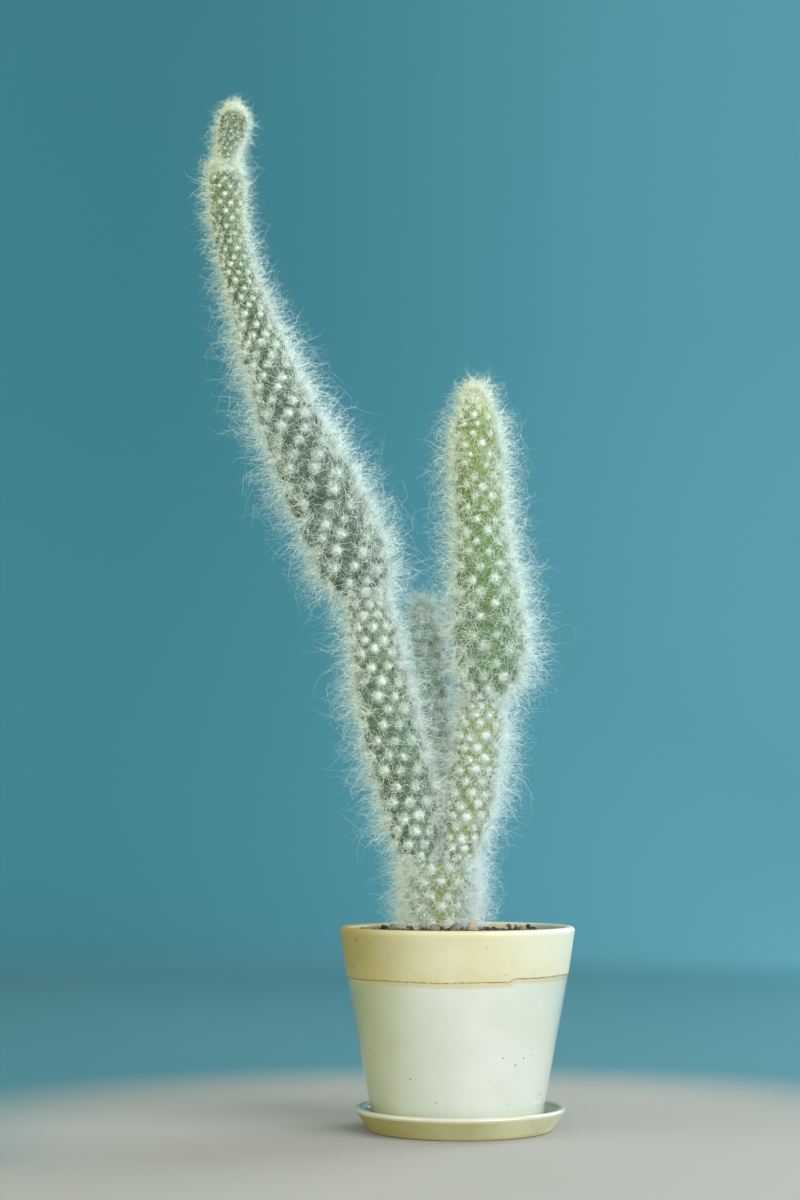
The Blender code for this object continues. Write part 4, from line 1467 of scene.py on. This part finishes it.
def stage_material(settings):
    """Paint of the stage: pale in front and round the pot, the backdrop's colour behind, with painted light
    that makes the wall lighter towards the right.
    """
    shader = Shader("stage", Roughness=0.9)
    place = shader.place()
    x, y, _ = shader.axes(place)
    distance = (x * x + y * y) ** 0.5
    share = (y * 1.5 + distance).step(0, 0.1)
    share = distance.step(settings.pale_radius, settings.pale_radius * 2.2) * share
    # Painted light: the backdrop's wall is painted lighter towards the right. Its floor nearer than about a
    # metre is darker than the wall.
    low = tuple(part * 0.66 for part in settings.backdrop_colour)
    light = tuple(min(a * b, 1.0) for a, b in zip(settings.backdrop_colour, (2.3, 1.6, 1.65)))
    wall = shader.mix(x.step(-0.5, 0.6), settings.backdrop_colour[:], light)
    behind = shader.mix(distance.step(1.0, 1.8), low, wall)
    colour = shader.mix(shader.noise(place, 6, 2) * 0.06 + share, settings.floor_colour[:], behind)
    return shader.finish(colour)


def make_stage(settings):
    """A round floor whose edge sweeps up into a wall, turned from one profile."""
    edge = STAGE_RADIUS - STAGE_BEND
    profile = np.concatenate([
        line((0.02, 0), (edge, 0), 30),
        arc(edge, STAGE_BEND, STAGE_BEND, -90, 0, 24),
        line((STAGE_RADIUS, STAGE_BEND + 0.01), (STAGE_RADIUS, STAGE_HEIGHT), 6),
    ])
    profile[:, 1] -= STAGE_SINK
    j = np.arange(STAGE_STEPS)
    angle = math.tau * j / STAGE_STEPS
    circle = np.stack([np.cos(angle), np.sin(angle), np.ones(STAGE_STEPS)], -1)
    grid = profile[:, None][..., [0, 0, 1]] * circle
    corners, places = wrap_faces(len(profile), STAGE_STEPS)
    middle = np.array([[0, 0, profile[0, 1]]])
    fan = np.stack([np.full(STAGE_STEPS, grid.size // 3), j, (j + 1) % STAGE_STEPS], -1)
    parts = [(corners[:, ::-1], places[:, ::-1]), (fan, np.zeros((STAGE_STEPS, 3, 2)))]
    points = np.concatenate([grid.reshape(-1, 3), middle])
    stage = put_mesh("stage", points, parts, stage_material(settings))


def add_light(name, place, size, colour, power):
    """A square area light that faces the plant."""
    light = bpy.data.lights.new(name, "AREA")
    light.size = size
    light.energy = power
    light.color = colour
    thing = bpy.data.objects.new(name, light)
    thing.location = place
    way = Vector(LIGHT_TARGET) - Vector(place)
    thing.rotation_euler = way.to_track_quat("-Z", "Y").to_euler()
    thing.visible_camera = False
    bpy.context.scene.collection.objects.link(thing)


def add_camera():
    """The camera that sees what the picture shows."""
    camera = bpy.data.cameras.new("camera")
    camera.sensor_width = 36
    camera.lens = CAMERA_LENS
    camera.shift_y = CAMERA_SHIFT
    camera.clip_start = 0.01
    camera.clip_end = 30
    thing = bpy.data.objects.new("camera", camera)
    thing.location = CAMERA_PLACE
    thing.rotation_euler = (math.radians(90 + CAMERA_PITCH), 0, 0)
    bpy.context.scene.collection.objects.link(thing)
    bpy.context.scene.camera = thing


def light_stage(settings):
    """Soft lights from the right, from behind, from the camera's side and from the left, and the sky."""
    for name, (place, size, colour) in LIGHTS.items():
        add_light(name, place, size, colour, getattr(settings, f"{name}_power"))
    world = bpy.data.worlds.new("sky")
    world.use_nodes = True
    background = world.node_tree.nodes["Background"]
    background.inputs["Color"].default_value = (*SKY_COLOUR, 1)
    background.inputs["Strength"].default_value = settings.sky_strength
    bpy.context.scene.world = world
    bpy.context.scene.view_settings.view_transform = "Standard"


def number_setting(name, description, default, **kind):
    """A setting of one number, whose kind is a unit or a subtype."""
    return FloatProperty(name=name, description=description, default=default, **kind)


def colour_setting(name, description, default):
    """A setting of one colour."""
    return FloatVectorProperty(
        name=name, description=description, default=default, subtype="COLOR", size=3, min=0, max=1
    )


class PotSettings(PropertyGroup):
    """What a user would change on the pot and its saucer."""

    tide_height: number_setting(
        "Tide height", "Height above the table of the line between the two glazes", 0.0713, unit="LENGTH"
    )
    band_colour: colour_setting("Band", "Satin glaze above the tide line", (0.485, 0.456, 0.284))
    band_worn_colour: colour_setting("Worn band", "Paler patches of that glaze", (0.524, 0.509, 0.366))
    # Painted shade and reflection: the band's darker, yellower colour towards the left.
    band_left_colour: colour_setting("Shaded band", "That glaze on the shaded side", (0.31, 0.225, 0.02))
    # Painted light: the band's paler colour towards the right.
    band_right_colour: colour_setting("Pale band", "That glaze on the lamplit side", (0.54, 0.56, 0.46))
    glaze_colour: colour_setting("Glaze", "Glossy glaze below the tide line", (0.474, 0.511, 0.437))
    glaze_pale_colour: colour_setting("Pale glaze", "Paler patches of that glaze", (0.52, 0.553, 0.503))
    # Painted shade and reflection: the lower glaze's darker, yellower colour towards the left.
    glaze_left_colour: colour_setting("Shaded glaze", "That glaze on the shaded side", (0.27, 0.27, 0.02))
    stain_colour: colour_setting("Stain", "Yellowish stain along the tide line", (0.446, 0.374, 0.158))
    tide_colour: colour_setting("Tide line", "The thin brown line itself", (0.2, 0.11, 0.03))
    saucer_colour: colour_setting("Saucer wall", "Olive outside of the saucer", (0.455, 0.44, 0.235))
    # Painted shade: the saucer wall's darker colour towards the left.
    saucer_left_colour: colour_setting("Shaded saucer", "Its wall's shaded side", (0.345, 0.29, 0.078))
    saucer_lip_colour: colour_setting("Saucer lip", "Glaze inside it and over its lip", (0.45, 0.46, 0.35))
    # Painted light: the saucer wall's paler colour towards the right.
    saucer_pale_colour: colour_setting("Pale saucer", "Its wall's lamplit side", (0.58, 0.59, 0.39))


class PlantSettings(PropertyGroup):
    """What a user would change on the cactus."""

    mound_height: number_setting(
        "Mound height", "How far a mound with its areole stands out of the skin", 0.0009, unit="LENGTH"
    )
    tuft_radius: number_setting("Tuft radius", "Radius of a woolly areole", 0.002, unit="LENGTH")
    hair_length: number_setting(
        "Hair length", "Length of all hair, as a share of its usual length", 1.0, subtype="FACTOR"
    )
    hair_thickness: number_setting(
        "Hair thickness", "Thickness of all hair, as a share of its usual thickness", 1.0, subtype="FACTOR"
    )
    gauze: number_setting("Gauze", "How strongly the finest hair shows on the skin", 0.46, subtype="FACTOR")
    wool_colour: colour_setting("Wool", "Wool and hair", (0.74, 0.86, 0.8))
    cream_colour: colour_setting("Young wool", "Wool of young growth and hair roots", (0.82, 0.87, 0.6))
    # Painted light: this cool white goes mostly on hair that faces the right.
    cool_colour: colour_setting("Cool wool", "The coolest white of the hair", (0.8, 0.93, 0.96))
    gauze_colour: colour_setting("Fine hair", "The finest hair lying on the skin", (0.47, 0.7, 0.57))


class StageSettings(PropertyGroup):
    """What a user would change on the stage."""

    floor_colour: colour_setting("Floor", "Pale floor round the pot", (0.302, 0.295, 0.277))
    backdrop_colour: colour_setting("Backdrop", "Muted colour far from the pot", (0.058, 0.257, 0.33))
    pale_radius: number_setting("Pale radius", "How far the pale floor reaches", 0.15, unit="LENGTH")
    key_power: number_setting("Key light", "Power of the main light, in watts", 48, unit="POWER")
    window_power: number_setting("Window light", "Power of the light behind, in watts", 20, unit="POWER")
    front_power: number_setting(
        "Front light", "Power of the light by the camera, in watts", 8, unit="POWER"
    )
    fill_power: number_setting("Fill light", "Power of the light from the left, in watts", 17, unit="POWER")
    sky_strength: number_setting("Sky", "Strength of the light from above", 0.72)


class CACTUS_OT_add_saucer(Operator):
    """Adds the glazed saucer"""

    bl_idname = "cactus.add_saucer"
    bl_label = "Saucer"

    def execute(self, context):
        make_saucer(context.scene.cactus_pot)
        return {"FINISHED"}


class CACTUS_OT_add_pot(Operator):
    """Adds the glazed pot"""

    bl_idname = "cactus.add_pot"
    bl_label = "Pot"

    def execute(self, context):
        make_pot(context.scene.cactus_pot)
        return {"FINISHED"}


class CACTUS_OT_add_soil(Operator):
    """Adds the soil with its grit and a chip of bark"""

    bl_idname = "cactus.add_soil"
    bl_label = "Soil"

    def execute(self, context):
        make_soil()
        grit = grit_material()
        for i, (name, (count, least, most)) in enumerate(GRIT.items()):
            scatter_stones(name, count, GRIT_SEED + i, least, most, grit)
        make_bark()
        return {"FINISHED"}


class CACTUS_OT_add_skin(Operator):
    """Adds the skin of every pad"""

    bl_idname = "cactus.add_skin"
    bl_label = "Skin"

    def execute(self, context):
        for name in PADS:
            make_skin(name, context.scene.cactus_plant)
        return {"FINISHED"}


class CACTUS_OT_add_wool(Operator):
    """Adds the woolly tufts of every pad"""

    bl_idname = "cactus.add_wool"
    bl_label = "Wool"

    def execute(self, context):
        settings = context.scene.cactus_plant
        wool_material(settings)
        for name in PADS:
            make_wool(name, settings)
        return {"FINISHED"}


class CACTUS_OT_add_hair(Operator):
    """Adds the fine curly hair of every pad"""

    bl_idname = "cactus.add_hair"
    bl_label = "Hair"

    def execute(self, context):
        settings = context.scene.cactus_plant
        hair_material(settings)
        for name in PADS:
            make_hair(name, settings)
        return {"FINISHED"}


class CACTUS_OT_add_stage(Operator):
    """Adds the floor with its backdrop, the lights and the camera"""

    bl_idname = "cactus.add_stage"
    bl_label = "Stage"

    def execute(self, context):
        settings = context.scene.cactus_stage
        make_stage(settings)
        light_stage(settings)
        add_camera()
        return {"FINISHED"}


OPERATORS = (
    CACTUS_OT_add_stage,
    CACTUS_OT_add_saucer,
    CACTUS_OT_add_pot,
    CACTUS_OT_add_soil,
    CACTUS_OT_add_skin,
    CACTUS_OT_add_wool,
    CACTUS_OT_add_hair,
)


class CACTUS_PT_panel(Panel):
    """Lists the pieces and their settings"""

    bl_idname = "CACTUS_PT_panel"
    bl_label = "Potted Cactus"
    bl_space_type = "VIEW_3D"
    bl_region_type = "UI"
    bl_category = "Cactus"

    def draw(self, context):
        for operator in OPERATORS:
            self.layout.operator(operator.bl_idname)
        for group in SETTINGS:
            settings = getattr(context.scene, group)
            for name in settings.__annotations__:
                self.layout.prop(settings, name)


SETTINGS = {"cactus_pot": PotSettings, "cactus_plant": PlantSettings, "cactus_stage": StageSettings}
CLASSES = (*SETTINGS.values(), *OPERATORS, CACTUS_PT_panel)


def register():
    """Registers the classes and puts the settings on the scene."""
    for cls in CLASSES:
        bpy.utils.register_class(cls)
    for name, cls in SETTINGS.items():
        setattr(bpy.types.Scene, name, PointerProperty(type=cls))


def unregister():
    """Takes the settings off the scene and removes the classes."""
    for name in SETTINGS:
        delattr(bpy.types.Scene, name)
    for cls in reversed(CLASSES):
        bpy.utils.unregister_class(cls)


def main():
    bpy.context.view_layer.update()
    register()
    for operator in OPERATORS:
        group, name = operator.bl_idname.split(".")
        getattr(getattr(bpy.ops, group), name)()


if __name__ == "__main__":
    main()
